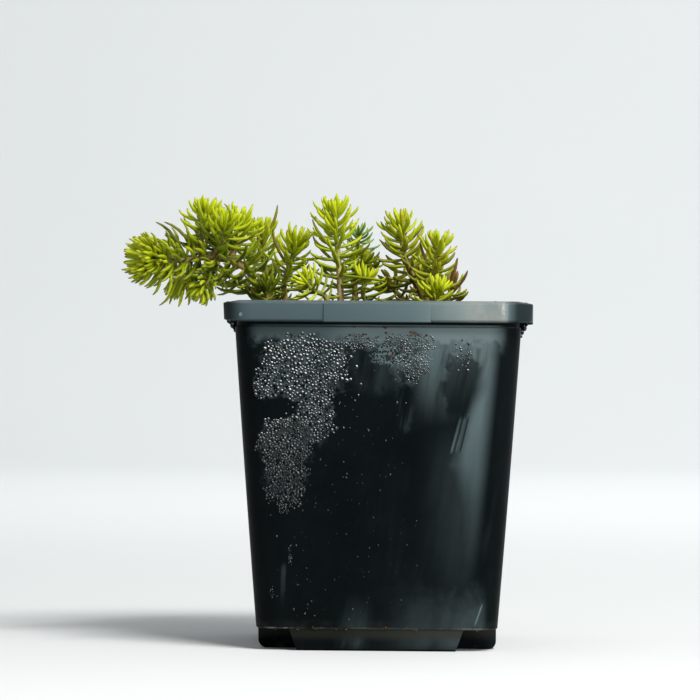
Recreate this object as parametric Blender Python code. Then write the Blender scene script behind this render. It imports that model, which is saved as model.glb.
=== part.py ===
"""Potted sedum: a trailing needle-leaved stonecrop in a square black nursery pot.

Units are metres and +Z is up. The origin is the centre of the pot's flat base, and the pot's front
faces -Y. Each leafy stem is one solid: its stems with every leaf fused to them.
"""

import math
import random

import bmesh
import bpy
import numpy as np
from mathutils import Matrix, Vector, noise

MM = 0.001

# Pot: outer form
POT_HEIGHT = 102.0 * MM
RIM_HALF = 45.0 * MM
RIM_CORNER = 9.0 * MM
LIP_RUN = 4.2 * MM
LIP_DROP = 0.7 * MM
SKIRT_BOTTOM = 96.2 * MM
SKIRT_WALL = 1.2 * MM
SKIRT_DRAFT = 0.2 * MM
BODY_HALF_TOP = 41.65 * MM
BODY_HALF_FOOT = 35.3 * MM
BODY_CORNER_TOP = 7.5 * MM
BODY_CORNER_FOOT = 6.3 * MM
SHOULDER_Z = 94.2 * MM
SHOULDER_INSET = 0.5 * MM
STEP_Z = 6.5 * MM
BAND_INSET = 0.4 * MM
FOOT_ROUND = 2.4 * MM
SOFT_EDGE = 0.4 * MM

# Pot: walls, label tabs, webs, corner notches and drain holes
FLOOR = 1.4 * MM
FLOOR_ROUND = 1.2 * MM
INNER_HALF_TOP = 39.9 * MM
INNER_HALF_FOOT = 33.6 * MM
INNER_CORNER = 5.6 * MM
TAB_WIDTH = 31.0 * MM
TAB_DROP = 0.8 * MM
TAB_PROUD = 0.3 * MM
TAB_TOP = 100.7 * MM
SUNK = 0.9 * MM
WEB_THICK = 1.0 * MM
WEB_TOE = 0.8 * MM
WEB_OFFSET = 30.0 * MM
WEB_FOOT_Z = 92.0 * MM
NOTCH_HEIGHT = 6.4 * MM
NOTCH_START_TOP = 25.4 * MM
NOTCH_START_FOOT = 22.4 * MM
PAD_WALL = 1.2 * MM
DRAIN_RADIUS = 2.6 * MM
DRAIN_CENTRE = 29.3 * MM
DRAIN_SIDES = 16
BEYOND = 2.0 * MM

# Potting mix
FIT_GAP = 0.3 * MM
SOIL_TOP = 90.0 * MM
SOIL_RELIEF = 1.1 * MM
SOIL_EDGE_DROP = 1.4 * MM
SOIL_MOUND = 1.2 * MM
SOIL_MOUND_SPREAD = 30.0 * MM
SOIL_LUMP = 7.0 * MM
SOIL_RINGS = 8
SOIL_SIDE_STEPS = 5
ROOT_DEPTH = 12.0 * MM
COLLAR = 1.0 * MM

# Stems and leaves
STEM_SIDES = 5
STEM_STEP = 6.0 * MM
LEAF_RADIUS = 0.8 * MM
LEAF_SIDES = 3
LEAF_WIDEST = 0.6
LEAF_ROOT = 0.72
LEAF_GAP = 0.35 * MM
LONG_LEAF_BOW = 0.14
GOLDEN_ANGLE = math.radians(137.5)
LEAF_CURL = math.radians(14)
LEAF_SAMPLES = np.linspace(0.12, 1.0, 8)
CROWDING = 1.6
STEEPENING = 2.0
SHORTENING = 3.0
PROBE_CLEAR = 1.6 * MM

# What a leaf that has no room tries in turn: a share of its angle and a share of its length
LEAF_TRIES = ((1.0, 1.0), (0.8, 1.0), (0.62, 0.95), (0.8, 0.75), (0.5, 0.75), (1.1, 0.6))

ARC_STEPS = 5

# Each leafy stem: its shoots, and the first is the one that stands in the mix. A shoot's route is in
# millimetres, its girth is the stem's radius at its start and its tip, "bare" is the share of its
# length that has no leaves, "reach" is the longest and the shortest leaf, and "spread" is how far the
# lowest and the topmost leaf lean out, in degrees. A long leaf grows from the stem near one point to its
# tip at another, and "bow" moves its middle.
SPRIGS = {
    "stem_trailing": [
        dict(route=[(-36, -6, 0), (-37, -6, 104), (-39, -7, 110), (-44, -8, 113.5), (-51, -9, 114.8),
                    (-58, -10, 114), (-63.4, -11.6, 113.8), (-66.6, -13.4, 114), (-68.4, -15, 114.6)],
             girth=(1.15, 0.75), leaves=60, bare=0.24, reach=(12, 9), spread=(86, 48),
             long_leaves=[dict(near=(-57.5, -10, 114), tip=(-67.2, -12, 125.3)),
                          dict(near=(-53.3, -10, 114.8), tip=(-64.6, -13, 125.3)),
                          dict(near=(-59.5, -11, 113.9), tip=(-65.8, -14, 100.2))]),
        dict(route=[(-53, -9, 114.8), (-53.6, -8, 119), (-53.2, -7, 124), (-52.4, -6, 128.2)],
             girth=(0.95, 0.7), leaves=30, bare=0.1, reach=(9, 6), spread=(80, 22)),
        dict(route=[(-50, -9, 114.8), (-48, -10, 118.5), (-46.8, -11, 121.5), (-46.4, -11, 124.6)],
             girth=(0.95, 0.7), leaves=22, bare=0.1, reach=(9.5, 6.4), spread=(62, 22),
             long_leaves=[dict(near=(-50.5, -9, 114.8), tip=(-46.6, -14, 131), bow=(3.6, 0, 0))]),
        dict(route=[(-45, -8, 113.8), (-43.4, -5, 118), (-42.6, -3, 122), (-42.6, -3, 125.2)],
             girth=(0.9, 0.7), leaves=24, bare=0.1, reach=(9.5, 6), spread=(66, 22),
             long_leaves=[dict(near=(-42.8, -4, 120), tip=(-43.5, -5, 130.2))]),
        dict(route=[(-48, -9, 114.4), (-50.2, -11, 111), (-51.8, -12, 108), (-53, -12.5, 105)],
             girth=(0.85, 0.65), leaves=22, bare=0.1, reach=(7.4, 5), spread=(70, 26),
             long_leaves=[dict(near=(-49.5, -10.4, 112), tip=(-42.1, -14, 106.2))]),
        dict(route=[(-56.5, -9, 114.4), (-57.4, -7, 110.4), (-59, -6, 106.8)],
             girth=(0.85, 0.6), leaves=13, bare=0.15, reach=(9, 7), spread=(60, 24),
             long_leaves=[dict(near=(-57, -7.5, 111), tip=(-62.8, -11, 100.5))]),
    ],
    "stem_left_back": [
        dict(route=[(-32, 12, 0), (-34, 12, 106), (-35.6, 12, 112), (-36.4, 12, 118), (-36.4, 12, 122.6)],
             girth=(1.1, 0.75), leaves=32, bare=0.24, reach=(9.5, 6.2), spread=(76, 24),
             long_leaves=[dict(near=(-35.9, 12, 115.5), tip=(-38.9, 10, 127.7)),
                          dict(near=(-35.6, 12, 119), tip=(-31.8, 10, 131.5))]),
    ],
    "stem_left_middle": [
        dict(route=[(-27, 1, 0), (-29.2, 1, 105), (-28.4, 0, 110), (-26.8, 0, 115), (-25.4, -1, 119.4)],
             girth=(1.1, 0.75), leaves=34, bare=0.24, reach=(10, 6.6), spread=(78, 30),
             long_leaves=[dict(near=(-27.6, 0, 112), tip=(-32.6, -1, 124.1))]),
    ],
    "stem_left_low": [
        dict(route=[(-31, -12, 0), (-32, -12, 99), (-33.6, -12.6, 103.4), (-34.4, -13, 107)],
             girth=(1.0, 0.7), leaves=24, bare=0.24, reach=(10, 6), spread=(82, 30)),
    ],
    "stem_front_low": [
        dict(route=[(-13.5, -19, 0), (-15.5, -19.5, 102.4), (-18.4, -20, 104.6), (-20.6, -20, 106),
                    (-22, -20, 107.8)],
             girth=(1.0, 0.7), leaves=22, bare=0.36, reach=(7.8, 5), spread=(72, 30)),
    ],
    "stem_centre": [
        dict(route=[(-12, -5, 0), (-12, -5, 103), (-12.4, -5, 110), (-13, -4.5, 117.4), (-13.6, -4, 123),
                    (-13.8, -4, 128.4)],
             girth=(1.15, 0.75), leaves=46, bare=0.26, reach=(11, 6.4), spread=(76, 28),
             long_leaves=[dict(near=(-12.9, -4.6, 116), tip=(-20.6, -7, 126.8)),
                          dict(near=(-12.6, -4.9, 113), tip=(-20.7, -3, 122.3)),
                          dict(near=(-12.8, -4.7, 115), tip=(-3, -8, 119.7)),
                          dict(near=(-12.3, -5, 109.8), tip=(2.2, -13.6, 108), bow=(0, -3, 0))]),
    ],
    "stem_centre_back": [
        dict(route=[(-9, 21, 0), (-8.6, 21, 106), (-8.2, 21, 112), (-7.8, 21, 118), (-7.6, 21, 122.8)],
             girth=(1.0, 0.65), leaves=24, bare=0.42, reach=(7.6, 5.2), spread=(84, 46),
             long_leaves=[dict(near=(-7.8, 21, 117), tip=(0.2, 16, 114.7))]),
    ],
    "stem_centre_right": [
        dict(route=[(-7, 9, 0), (-8, 9, 104), (-8.6, 9, 108), (-7.6, 8.5, 111.4), (-5.6, 8, 113.6)],
             girth=(1.0, 0.7), leaves=22, bare=0.26, reach=(9, 6), spread=(80, 28)),
    ],
    "stem_right_of_centre": [
        dict(route=[(-3, -7, 0), (-4, -7, 101), (-5.2, -8, 104), (-5, -8.5, 106.6), (-4.6, -8.5, 108.4)],
             girth=(0.95, 0.7), leaves=20, bare=0.26, reach=(9.5, 6), spread=(84, 34)),
    ],
    "stem_right_tall": [
        dict(route=[(14, 2, 0), (12.6, 2, 102.5), (9.6, 1, 108.8), (7.6, 0, 114), (6.4, 0, 118.6),
                    (5.6, -1, 124.8)],
             girth=(1.2, 0.75), leaves=38, bare=0.3, reach=(10, 6.6), spread=(72, 28),
             long_leaves=[dict(near=(7.4, 0, 114.8), tip=(-0.4, -2, 120.7)),
                          dict(near=(6.2, -0.2, 120), tip=(-0.4, -2, 126.3)),
                          dict(near=(6.2, -0.2, 119.6), tip=(12.3, 1, 125.8)),
                          dict(near=(12, 2, 103.8), tip=(6.8, -3, 115.8))]),
    ],
    "stem_right_front": [
        dict(route=[(17, -12, 0), (15.8, -12, 103), (15.8, -12, 109), (16.2, -12, 114), (17, -12, 118.6)],
             girth=(1.15, 0.75), leaves=32, bare=0.32, reach=(8.8, 6.4), spread=(70, 30),
             long_leaves=[dict(near=(15.8, -12, 110), tip=(11.7, -11, 120.2)),
                          dict(near=(16.2, -12, 112), tip=(22.2, -12, 117))]),
    ],
    "stem_right_low": [
        dict(route=[(16, -24, 0), (16.2, -24.5, 101), (16.6, -25, 103.4), (17, -25, 105.6)],
             girth=(0.95, 0.7), leaves=18, bare=0.36, reach=(7.6, 5.4), spread=(64, 30)),
    ],
    "stem_right_red": [
        dict(route=[(21, 8, 0), (20, 7, 101), (20.2, 6.5, 103.6), (20.8, 6, 106)],
             girth=(1.0, 0.7), leaves=9, bare=0.26, reach=(9, 7), spread=(62, 24),
             long_leaves=[dict(near=(20.6, 6.2, 105.4), tip=(22.8, 5, 115.7)),
                          dict(near=(20.3, 6.4, 104), tip=(25.9, 4, 111.9)),
                          dict(near=(20.2, 6.6, 103), tip=(26.2, 4, 105.5))]),
    ],
    "stem_right_left": [
        dict(route=[(10, 11, 0), (8.6, 11, 100.6), (6, 10.5, 103.4), (3.8, 10, 105.4), (2.8, 10, 106.8)],
             girth=(1.0, 0.7), leaves=17, bare=0.3, reach=(9.5, 6), spread=(72, 28),
             long_leaves=[dict(near=(4.6, 10.2, 104.8), tip=(-0.6, 8, 111.9))]),
    ],
    "stem_right_back": [
        dict(route=[(14, 16, 0), (13.8, 16, 104), (13.4, 15.5, 109), (12.8, 15, 113)],
             girth=(0.95, 0.7), leaves=18, bare=0.36, reach=(8.5, 6), spread=(66, 26)),
    ],
    "young_back_left": [
        dict(route=[(-21, 27, 0), (-21, 27, 95), (-21.6, 27, 98)],
             girth=(0.9, 0.65), leaves=13, bare=0.3, reach=(7, 4.8), spread=(72, 26)),
    ],
    "young_back_right": [
        dict(route=[(26, 26, 0), (26, 26, 94.6), (26.4, 25.4, 97.6)],
             girth=(0.9, 0.65), leaves=13, bare=0.3, reach=(7, 4.8), spread=(72, 26)),
    ],
    "young_right": [
        dict(route=[(31, -10, 0), (31, -10, 94.6), (30.6, -9.6, 97.4)],
             girth=(0.9, 0.65), leaves=12, bare=0.3, reach=(6.5, 4.8), spread=(72, 26)),
    ],
}


def clear_scene():
    for old in list(bpy.data.objects):
        bpy.data.objects.remove(old, do_unlink=True)


def material(name, colour, roughness):
    """A plain finish: a Principled BSDF with no metal in it."""
    made = bpy.data.materials.new(name)
    made.use_nodes = True
    shader = made.node_tree.nodes["Principled BSDF"]
    shader.inputs["Base Color"].default_value = (*colour, 1.0)
    shader.inputs["Roughness"].default_value = roughness
    shader.inputs["Metallic"].default_value = 0.0
    return made


def new_object(name, bm, finish=None):
    """An object that holds the bmesh, with its normals facing out."""
    bmesh.ops.recalc_face_normals(bm, faces=bm.faces)
    mesh = bpy.data.meshes.new(name)
    bm.to_mesh(mesh)
    bm.free()
    made = bpy.data.objects.new(name, mesh)
    bpy.context.scene.collection.objects.link(made)
    if finish:
        mesh.materials.append(finish)
    return made


def as_helper(obj):
    obj.hide_render = True
    obj.display_type = "WIRE"
    return obj


def boolean(obj, other, operation):
    """Joins other to obj, or cuts it out, and leaves the modifier live."""
    step = obj.modifiers.new(f"{operation.lower()} {other.name}", "BOOLEAN")
    step.operation = operation
    step.object = other


# Outlines: rings of points round a square with rounded corners


def outline(half, corner, side_steps=1):
    """(x, y) round a square with rounded corners, anticlockwise, with its sides cut into side_steps."""
    points = []
    straight = half - corner
    for quarter in range(4):
        turn = quarter * math.pi / 2
        for step in range(ARC_STEPS + 1):
            angle = turn + step / ARC_STEPS * math.pi / 2
            centre = (
                straight * (1 if quarter in (0, 3) else -1),
                straight * (1 if quarter in (0, 1) else -1),
            )
            points.append((centre[0] + corner * math.cos(angle), centre[1] + corner * math.sin(angle)))
        along = turn + math.pi / 2
        direction = (math.cos(along + math.pi / 2), math.sin(along + math.pi / 2))
        start = points[-1]
        for step in range(1, side_steps):
            run = 2 * straight * step / side_steps
            points.append((start[0] + direction[0] * run, start[1] + direction[1] * run))
    return points


def bridge(bm, lower, upper):
    count = len(lower)
    for i in range(count):
        j = (i + 1) % count
        bm.faces.new((lower[i], lower[j], upper[j], upper[i]))


def lofted(name, profile, finish=None):
    """A closed solid through rings given as (half width, corner radius, z), flat at both ends."""
    bm = bmesh.new()
    rings = [[bm.verts.new((x, y, z)) for x, y in outline(half, corner)] for half, corner, z in profile]
    for lower, upper in zip(rings, rings[1:]):
        bridge(bm, lower, upper)
    bm.faces.new(reversed(rings[0]))
    bm.faces.new(rings[-1])
    return new_object(name, bm, finish)


def box(name, low, high):
    bm = bmesh.new()
    size = Vector(high) - Vector(low)
    middle = (Vector(high) + Vector(low)) / 2
    bmesh.ops.create_cube(bm, size=1.0, matrix=Matrix.LocRotScale(middle, None, size))
    return as_helper(new_object(name, bm))


def corner_block(name, start_top, start_foot, top, foot, turn):
    """A block over one corner of the base that spreads towards the floor."""
    far = RIM_HALF
    bm = bmesh.new()
    rings = []
    for start, z in ((start_foot, foot), (start_top, top)):
        square = [(start, start), (far, start), (far, far), (start, far)]
        rings.append([bm.verts.new((x, y, z)) for x, y in square])
    bridge(bm, *rings)
    bm.faces.new(reversed(rings[0]))
    bm.faces.new(rings[1])
    bmesh.ops.rotate(bm, verts=bm.verts, matrix=Matrix.Rotation(turn, 3, "Z"))
    return as_helper(new_object(name, bm))


def cylinder(name, centre, radius, low, high, sides):
    bm = bmesh.new()
    place = Matrix.Translation((*centre, (low + high) / 2))
    bmesh.ops.create_cone(
        bm, cap_ends=True, segments=sides, radius1=radius, radius2=radius, depth=high - low, matrix=place
    )
    return as_helper(new_object(name, bm))


# The pot


def foot_rings(half, corner):
    """Rings that round the foot of the pot from its flat base up to its band."""
    rings = []
    for step in range(4):
        angle = step / 3 * math.pi / 2
        inset = FOOT_ROUND * (1 - math.sin(angle))
        rings.append((half - inset, corner - inset / 2, FOOT_ROUND * (1 - math.cos(angle))))
    return rings


def pot_shell():
    """The outside of the pot, solid for now: foot, band, wall, shoulder, rim channel, skirt and lip."""
    lip_edge = POT_HEIGHT - LIP_DROP
    neck_half = BODY_HALF_TOP - SHOULDER_INSET
    neck_corner = BODY_CORNER_TOP - SHOULDER_INSET
    roof = lip_edge - SKIRT_WALL
    skirt_inner = RIM_HALF - SKIRT_WALL
    skirt_corner = RIM_CORNER - SKIRT_WALL
    crest_half = RIM_HALF - LIP_RUN
    crest_corner = RIM_CORNER - LIP_RUN / 2
    profile = [
        *foot_rings(BODY_HALF_FOOT - BAND_INSET, BODY_CORNER_FOOT - BAND_INSET),
        (BODY_HALF_FOOT - BAND_INSET, BODY_CORNER_FOOT - BAND_INSET, STEP_Z),
        (BODY_HALF_FOOT, BODY_CORNER_FOOT, STEP_Z + SOFT_EDGE / 2),
        (BODY_HALF_TOP, BODY_CORNER_TOP, SHOULDER_Z),
        (neck_half, neck_corner, SHOULDER_Z + SOFT_EDGE),
        (neck_half, neck_corner, roof),
        (skirt_inner, skirt_corner, roof),
        (skirt_inner - SKIRT_DRAFT, skirt_corner, SKIRT_BOTTOM),
        (RIM_HALF - SKIRT_DRAFT, RIM_CORNER, SKIRT_BOTTOM),
        (RIM_HALF, RIM_CORNER, lip_edge - SOFT_EDGE),
        (RIM_HALF - SOFT_EDGE, RIM_CORNER - SOFT_EDGE, lip_edge),
        (crest_half, crest_corner, POT_HEIGHT),
        (crest_half - SOFT_EDGE, crest_corner - SOFT_EDGE, POT_HEIGHT),
    ]
    return lofted("pot", profile, material("black plastic", (0.018, 0.022, 0.024), 0.36))


def inner_rings(gap, top):
    """Rings of the space inside the pot, made smaller by a gap, up to a height on its tapered wall."""
    share = (top - FLOOR) / (SHOULDER_Z - FLOOR)
    half_top = INNER_HALF_FOOT + (INNER_HALF_TOP - INNER_HALF_FOOT) * share
    return [
        (INNER_HALF_FOOT - FLOOR_ROUND - gap, INNER_CORNER - FLOOR_ROUND, FLOOR + gap),
        (INNER_HALF_FOOT - gap, INNER_CORNER, FLOOR + FLOOR_ROUND + gap),
        (half_top - gap, INNER_CORNER + SOFT_EDGE, top),
    ]


def corner_pads(label, gap):
    """Blocks that fill the pot's corners over its notches, made larger by a gap."""
    return [
        corner_block(
            f"{label} {quarter}",
            NOTCH_START_TOP - PAD_WALL - gap,
            NOTCH_START_FOOT - PAD_WALL - gap,
            NOTCH_HEIGHT + PAD_WALL + gap,
            0.0,
            quarter * math.pi / 2,
        )
        for quarter in range(4)
    ]


def pot_cavity():
    """The space inside the pot, with the raised pads over the corner notches left standing."""
    corner = INNER_CORNER + SOFT_EDGE
    profile = [
        *inner_rings(0.0, SHOULDER_Z),
        (INNER_HALF_TOP, corner, POT_HEIGHT - SOFT_EDGE),
        (INNER_HALF_TOP + 2 * SOFT_EDGE, corner + 2 * SOFT_EDGE, POT_HEIGHT + SOFT_EDGE),
    ]
    space = as_helper(lofted("space inside the pot", profile))
    for pad in corner_pads("pad", 0.0):
        boolean(space, pad, "DIFFERENCE")
    return space


def label_tab(quarter):
    """The wider, slightly lower stretch in the middle of one side of the rim skirt."""
    tab = box(
        f"label tab {quarter}",
        (-TAB_WIDTH / 2, -RIM_HALF - TAB_PROUD, SKIRT_BOTTOM - TAB_DROP),
        (TAB_WIDTH / 2, -RIM_HALF + SUNK, TAB_TOP),
    )
    tab.data.transform(Matrix.Rotation(quarter * math.pi / 2, 4, "Z"))
    return tab


def rim_web(side, offset):
    """A thin web in the rim channel that runs down from the skirt to the wall."""
    skirt = RIM_HALF - SUNK / 2
    wall = BODY_HALF_TOP - SUNK
    roof = POT_HEIGHT - LIP_DROP - SUNK
    section = [
        (skirt, roof),
        (skirt, SKIRT_BOTTOM),
        (wall + WEB_TOE, WEB_FOOT_Z),
        (wall, WEB_FOOT_Z),
        (wall, roof),
    ]
    bm = bmesh.new()
    rings = [
        [bm.verts.new((side * x, offset + edge * WEB_THICK / 2, z)) for x, z in section] for edge in (-1, 1)
    ]
    bridge(bm, *rings)
    bm.faces.new(reversed(rings[0]))
    bm.faces.new(rings[1])
    return as_helper(new_object(f"rim web {side} {offset:.3f}", bm))


def make_pot():
    pot = pot_shell()
    boolean(pot, pot_cavity(), "DIFFERENCE")
    for quarter in range(4):
        boolean(pot, label_tab(quarter), "UNION")
    for side in (-1, 1):
        for offset in (-WEB_OFFSET, WEB_OFFSET):
            boolean(pot, rim_web(side, offset), "UNION")
    for quarter in range(4):
        turn = quarter * math.pi / 2
        notch = corner_block(
            f"notch {quarter}", NOTCH_START_TOP, NOTCH_START_FOOT, NOTCH_HEIGHT, -BEYOND, turn
        )
        boolean(pot, notch, "DIFFERENCE")
        centre = Matrix.Rotation(turn, 2) @ Vector((DRAIN_CENTRE, DRAIN_CENTRE))
        drain = cylinder(
            f"drain hole {quarter}",
            centre,
            DRAIN_RADIUS,
            NOTCH_HEIGHT - BEYOND,
            NOTCH_HEIGHT + PAD_WALL + BEYOND,
            DRAIN_SIDES,
        )
        boolean(pot, drain, "DIFFERENCE")
    pot.data.shade_smooth()
    pot.data.set_sharp_from_angle(angle=math.radians(32))
    return pot


# The potting mix


def soil_height(x, y):
    """The mix's surface: lumps of a few millimetres on a low mound."""
    mound = SOIL_MOUND * math.exp(-(x * x + y * y) / SOIL_MOUND_SPREAD**2)
    lumps = noise.noise(Vector((x, y, 0.0)) / SOIL_LUMP)
    grains = noise.noise(Vector((x, y, 0.0)) / (SOIL_LUMP * 0.4))
    return SOIL_TOP + mound + SOIL_RELIEF * (lumps + 0.5 * grains)


def soil_body():
    """The mix: a wall that follows the pot's inside, then rings that close in over its surface."""
    bm = bmesh.new()
    walls = inner_rings(FIT_GAP, SOIL_TOP - SOIL_EDGE_DROP)
    rings = [
        [bm.verts.new((x, y, z)) for x, y in outline(half, corner, SOIL_SIDE_STEPS)]
        for half, corner, z in walls
    ]
    half, corner, _ = walls[-1]
    for ring in range(1, SOIL_RINGS):
        share = 1 - ring / SOIL_RINGS
        flat = outline(half * share, corner * share, SOIL_SIDE_STEPS)
        rings.append([bm.verts.new((x, y, soil_height(x, y))) for x, y in flat])
    for lower, upper in zip(rings, rings[1:]):
        bridge(bm, lower, upper)
    bm.faces.new(reversed(rings[0]))
    middle = bm.verts.new((0, 0, soil_height(0, 0)))
    last = rings[-1]
    for i, vert in enumerate(last):
        bm.faces.new((vert, last[(i + 1) % len(last)], middle))
    return new_object("soil", bm, material("potting mix", (0.055, 0.035, 0.022), 0.95))


def make_soil(stems):
    """The mix, a gap inside the pot, with a plain hole for each stem."""
    soil = soil_body()
    for pad in corner_pads("pad clearance", FIT_GAP):
        boolean(soil, pad, "DIFFERENCE")
    for name, shoots in stems.items():
        foot, collar = shoots[0]["path"][:2]
        radius = shoots[0]["radii"][0] + FIT_GAP / math.cos(math.pi / STEM_SIDES)
        hole = cylinder(
            f"hole for {name}", foot.xy, radius, foot.z - FIT_GAP, collar.z + BEYOND, STEM_SIDES
        )
        boolean(soil, hole, "DIFFERENCE")


# Stems


def smooth_path(route, step):
    """Points on a Catmull-Rom curve through the route's points, about a step apart."""
    padded = [2 * route[0] - route[1], *route, 2 * route[-1] - route[-2]]
    points = []
    for i in range(1, len(padded) - 2):
        before, start, end, after = padded[i - 1 : i + 3]
        count = max(1, round((end - start).length / step))
        for k in range(count):
            t = k / count
            points.append(
                0.5
                * (
                    2 * start
                    + (end - before) * t
                    + (2 * before - 5 * start + 4 * end - after) * t**2
                    + (3 * start - before - 3 * end + after) * t**3
                )
            )
    points.append(route[-1])
    return points


def shoot_path(shoot, standing):
    """A shoot's centreline. A standing one first runs straight up out of its hole in the mix."""
    route = [Vector(point) * MM for point in shoot["route"]]
    if not standing:
        return smooth_path(route, STEM_STEP)
    surface = soil_height(route[0].x, route[0].y)
    collar = Vector((route[0].x, route[0].y, surface + COLLAR))
    foot = Vector((collar.x, collar.y, surface - ROOT_DEPTH))
    return [foot, *smooth_path([collar, *route[1:]], STEM_STEP)]


def frames_along(path):
    """(tangent, side, other side) at each point, turned as little as possible from one to the next."""
    tangents = []
    for i in range(len(path)):
        before, after = path[max(0, i - 1)], path[min(len(path) - 1, i + 1)]
        tangents.append((after - before).normalized())
    tangents[0] = (path[1] - path[0]).normalized()
    side = Vector((1, 0, 0)) if abs(tangents[0].x) < 0.9 else Vector((0, 1, 0))
    side = (side - tangents[0] * side.dot(tangents[0])).normalized()
    frames = []
    for i, tangent in enumerate(tangents):
        if i:
            side = tangents[i - 1].rotation_difference(tangent) @ side
        side = (side - tangent * side.dot(tangent)).normalized()
        frames.append((tangent, side, tangent.cross(side)))
    return frames


def swept(bm, path, radii, frames, sides, pointed):
    """A tube along the path. Its end is a point where pointed is set, and flat otherwise."""
    rings = []
    for centre, radius, (_, side, other) in zip(path, radii, frames):
        ring = []
        for k in range(sides):
            angle = 2 * math.pi * k / sides
            ring.append(bm.verts.new(centre + (side * math.cos(angle) + other * math.sin(angle)) * radius))
        rings.append(ring)
        if pointed and len(rings) == len(path) - 1:
            break
    for lower, upper in zip(rings, rings[1:]):
        bridge(bm, lower, upper)
    bm.faces.new(reversed(rings[0]))
    if not pointed:
        bm.faces.new(rings[-1])
        return
    tip = bm.verts.new(path[-1])
    last = rings[-1]
    for i in range(sides):
        bm.faces.new((last[i], last[(i + 1) % sides], tip))


# Leaves


def leaf_line(path, frames, share, turn, spread, length):
    """A leaf's root, middle and tip. It leaves the stem at a wide angle and curls towards its tip."""
    place = share * (len(path) - 1)
    index = min(int(place), len(path) - 2)
    root = path[index].lerp(path[index + 1], place - index)
    tangent, side, other = frames[index]
    outward = side * math.cos(turn) + other * math.sin(turn)
    low, high = spread + LEAF_CURL, spread - LEAF_CURL
    first = tangent * math.cos(low) + outward * math.sin(low)
    second = tangent * math.cos(high) + outward * math.sin(high)
    middle = root + first * length * LEAF_WIDEST
    return root, middle, middle + second * length * (1 - LEAF_WIDEST)


def nearest_on(path, point):
    """The index of the path's stretch that is nearest to a point, and the nearest place on it."""
    found = []
    for index, (start, end) in enumerate(zip(path, path[1:])):
        along = end - start
        share = max(0.0, min(1.0, (point - start).dot(along) / along.length_squared))
        place = start + along * share
        found.append(((point - place).length, index, place))
    _, index, place = min(found, key=lambda item: item[0])
    return index, place


def long_line(shoot, near, tip, bow=None):
    """A leaf's line from the stem near one point to its tip at another.

    Its middle is moved by the bow, or else away from the shoot's end.
    """
    index, root = nearest_on(shoot["path"], Vector(near) * MM)
    chord = Vector(tip) * MM - root
    tangent = shoot["frames"][index][0]
    lean = tangent - chord * (tangent.dot(chord) / chord.length_squared)
    moved = Vector(bow) * MM if bow else lean * -chord.length * LONG_LEAF_BOW
    return root, root + chord * LEAF_WIDEST + moved, root + chord


def samples_of(line):
    """Points along a leaf, from just outside the stem to its tip."""
    root, middle, tip = (np.array(point) for point in line)
    share = LEAF_SAMPLES[:, None]
    near = root + (middle - root) * share / LEAF_WIDEST
    far = middle + (tip - middle) * (share - LEAF_WIDEST) / (1 - LEAF_WIDEST)
    return np.where(share < LEAF_WIDEST, near, far)


def gap_to(points, segments):
    """The least distance from any of the points to the middle lines of the segments, less their radii."""
    starts, ends, radii = segments
    along = ends - starts
    offset = points[:, None, :] - starts[None, :, :]
    share = np.clip((offset * along).sum(2) / np.maximum((along * along).sum(1), 1e-12), 0, 1)
    distance = np.linalg.norm(offset - along * share[:, :, None], axis=2)
    return (distance - radii).min()


def clear_of_pot(points):
    """Whether leaf points keep off the mix, the pot's wall and its rim."""
    for x, y, z in points:
        reach = max(abs(x), abs(y))
        if z < POT_HEIGHT + PROBE_CLEAR and INNER_HALF_TOP - PROBE_CLEAR < reach < RIM_HALF + PROBE_CLEAR:
            return False
        if reach < RIM_HALF and z < soil_height(x, y) + PROBE_CLEAR:
            return False
    return True


def joined_segments(groups):
    starts, ends, radii = zip(*groups)
    return np.concatenate(starts), np.concatenate(ends), np.concatenate(radii)


def stem_segments(shoots):
    starts, ends, radii = [], [], []
    for shoot in shoots:
        points = np.array([tuple(point) for point in shoot["path"]])
        starts.append(points[:-1])
        ends.append(points[1:])
        radii.append(np.full(len(points) - 1, shoot["radii"][0]))
    return np.concatenate(starts), np.concatenate(ends), np.concatenate(radii)


def leaf_segments(lines):
    points = np.array([[tuple(point) for point in line] for line in lines])
    starts = np.concatenate([points[:, 0], points[:, 1]])
    ends = np.concatenate([points[:, 1], points[:, 2]])
    return starts, ends, np.full(len(starts), LEAF_RADIUS)


def place_leaves(shoot, seed, others):
    """Leaves in a spiral up the shoot, closer, shorter and steeper towards its tip.

    A leaf that would come too near another stem's leaf, the mix or the pot is bent towards its own
    stem, then shortened, and left out where nothing clears it.
    """
    draw = random.Random(seed)
    lines = []
    long, short = shoot["reach"]
    wide, steep = (math.radians(angle) for angle in shoot["spread"])
    for number in range(shoot["leaves"]):
        rank = (number + 0.5) / shoot["leaves"]
        climb = 1 - (1 - rank) ** CROWDING
        share = shoot["bare"] + (1 - shoot["bare"]) * climb
        turn = number * GOLDEN_ANGLE + draw.uniform(-0.25, 0.25)
        spread = wide + (steep - wide) * rank**STEEPENING + draw.uniform(-0.14, 0.14)
        length = (long + (short - long) * rank**SHORTENING) * draw.uniform(0.86, 1.1) * MM
        for bend, keep in LEAF_TRIES:
            line = leaf_line(shoot["path"], shoot["frames"], share, turn, spread * bend, length * keep)
            points = samples_of(line)
            if clear_of_pot(points) and gap_to(points, others) > LEAF_RADIUS + LEAF_GAP:
                lines.append(line)
                break
    return lines


def leaf_object(name, line):
    """One three-sided needle, thickest in its middle, with its root inside the stem."""
    bm = bmesh.new()
    radii = (LEAF_RADIUS * LEAF_ROOT, LEAF_RADIUS, 0.0)
    swept(bm, line, radii, frames_along(line), LEAF_SIDES, pointed=True)
    return new_object(name, bm)


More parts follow.
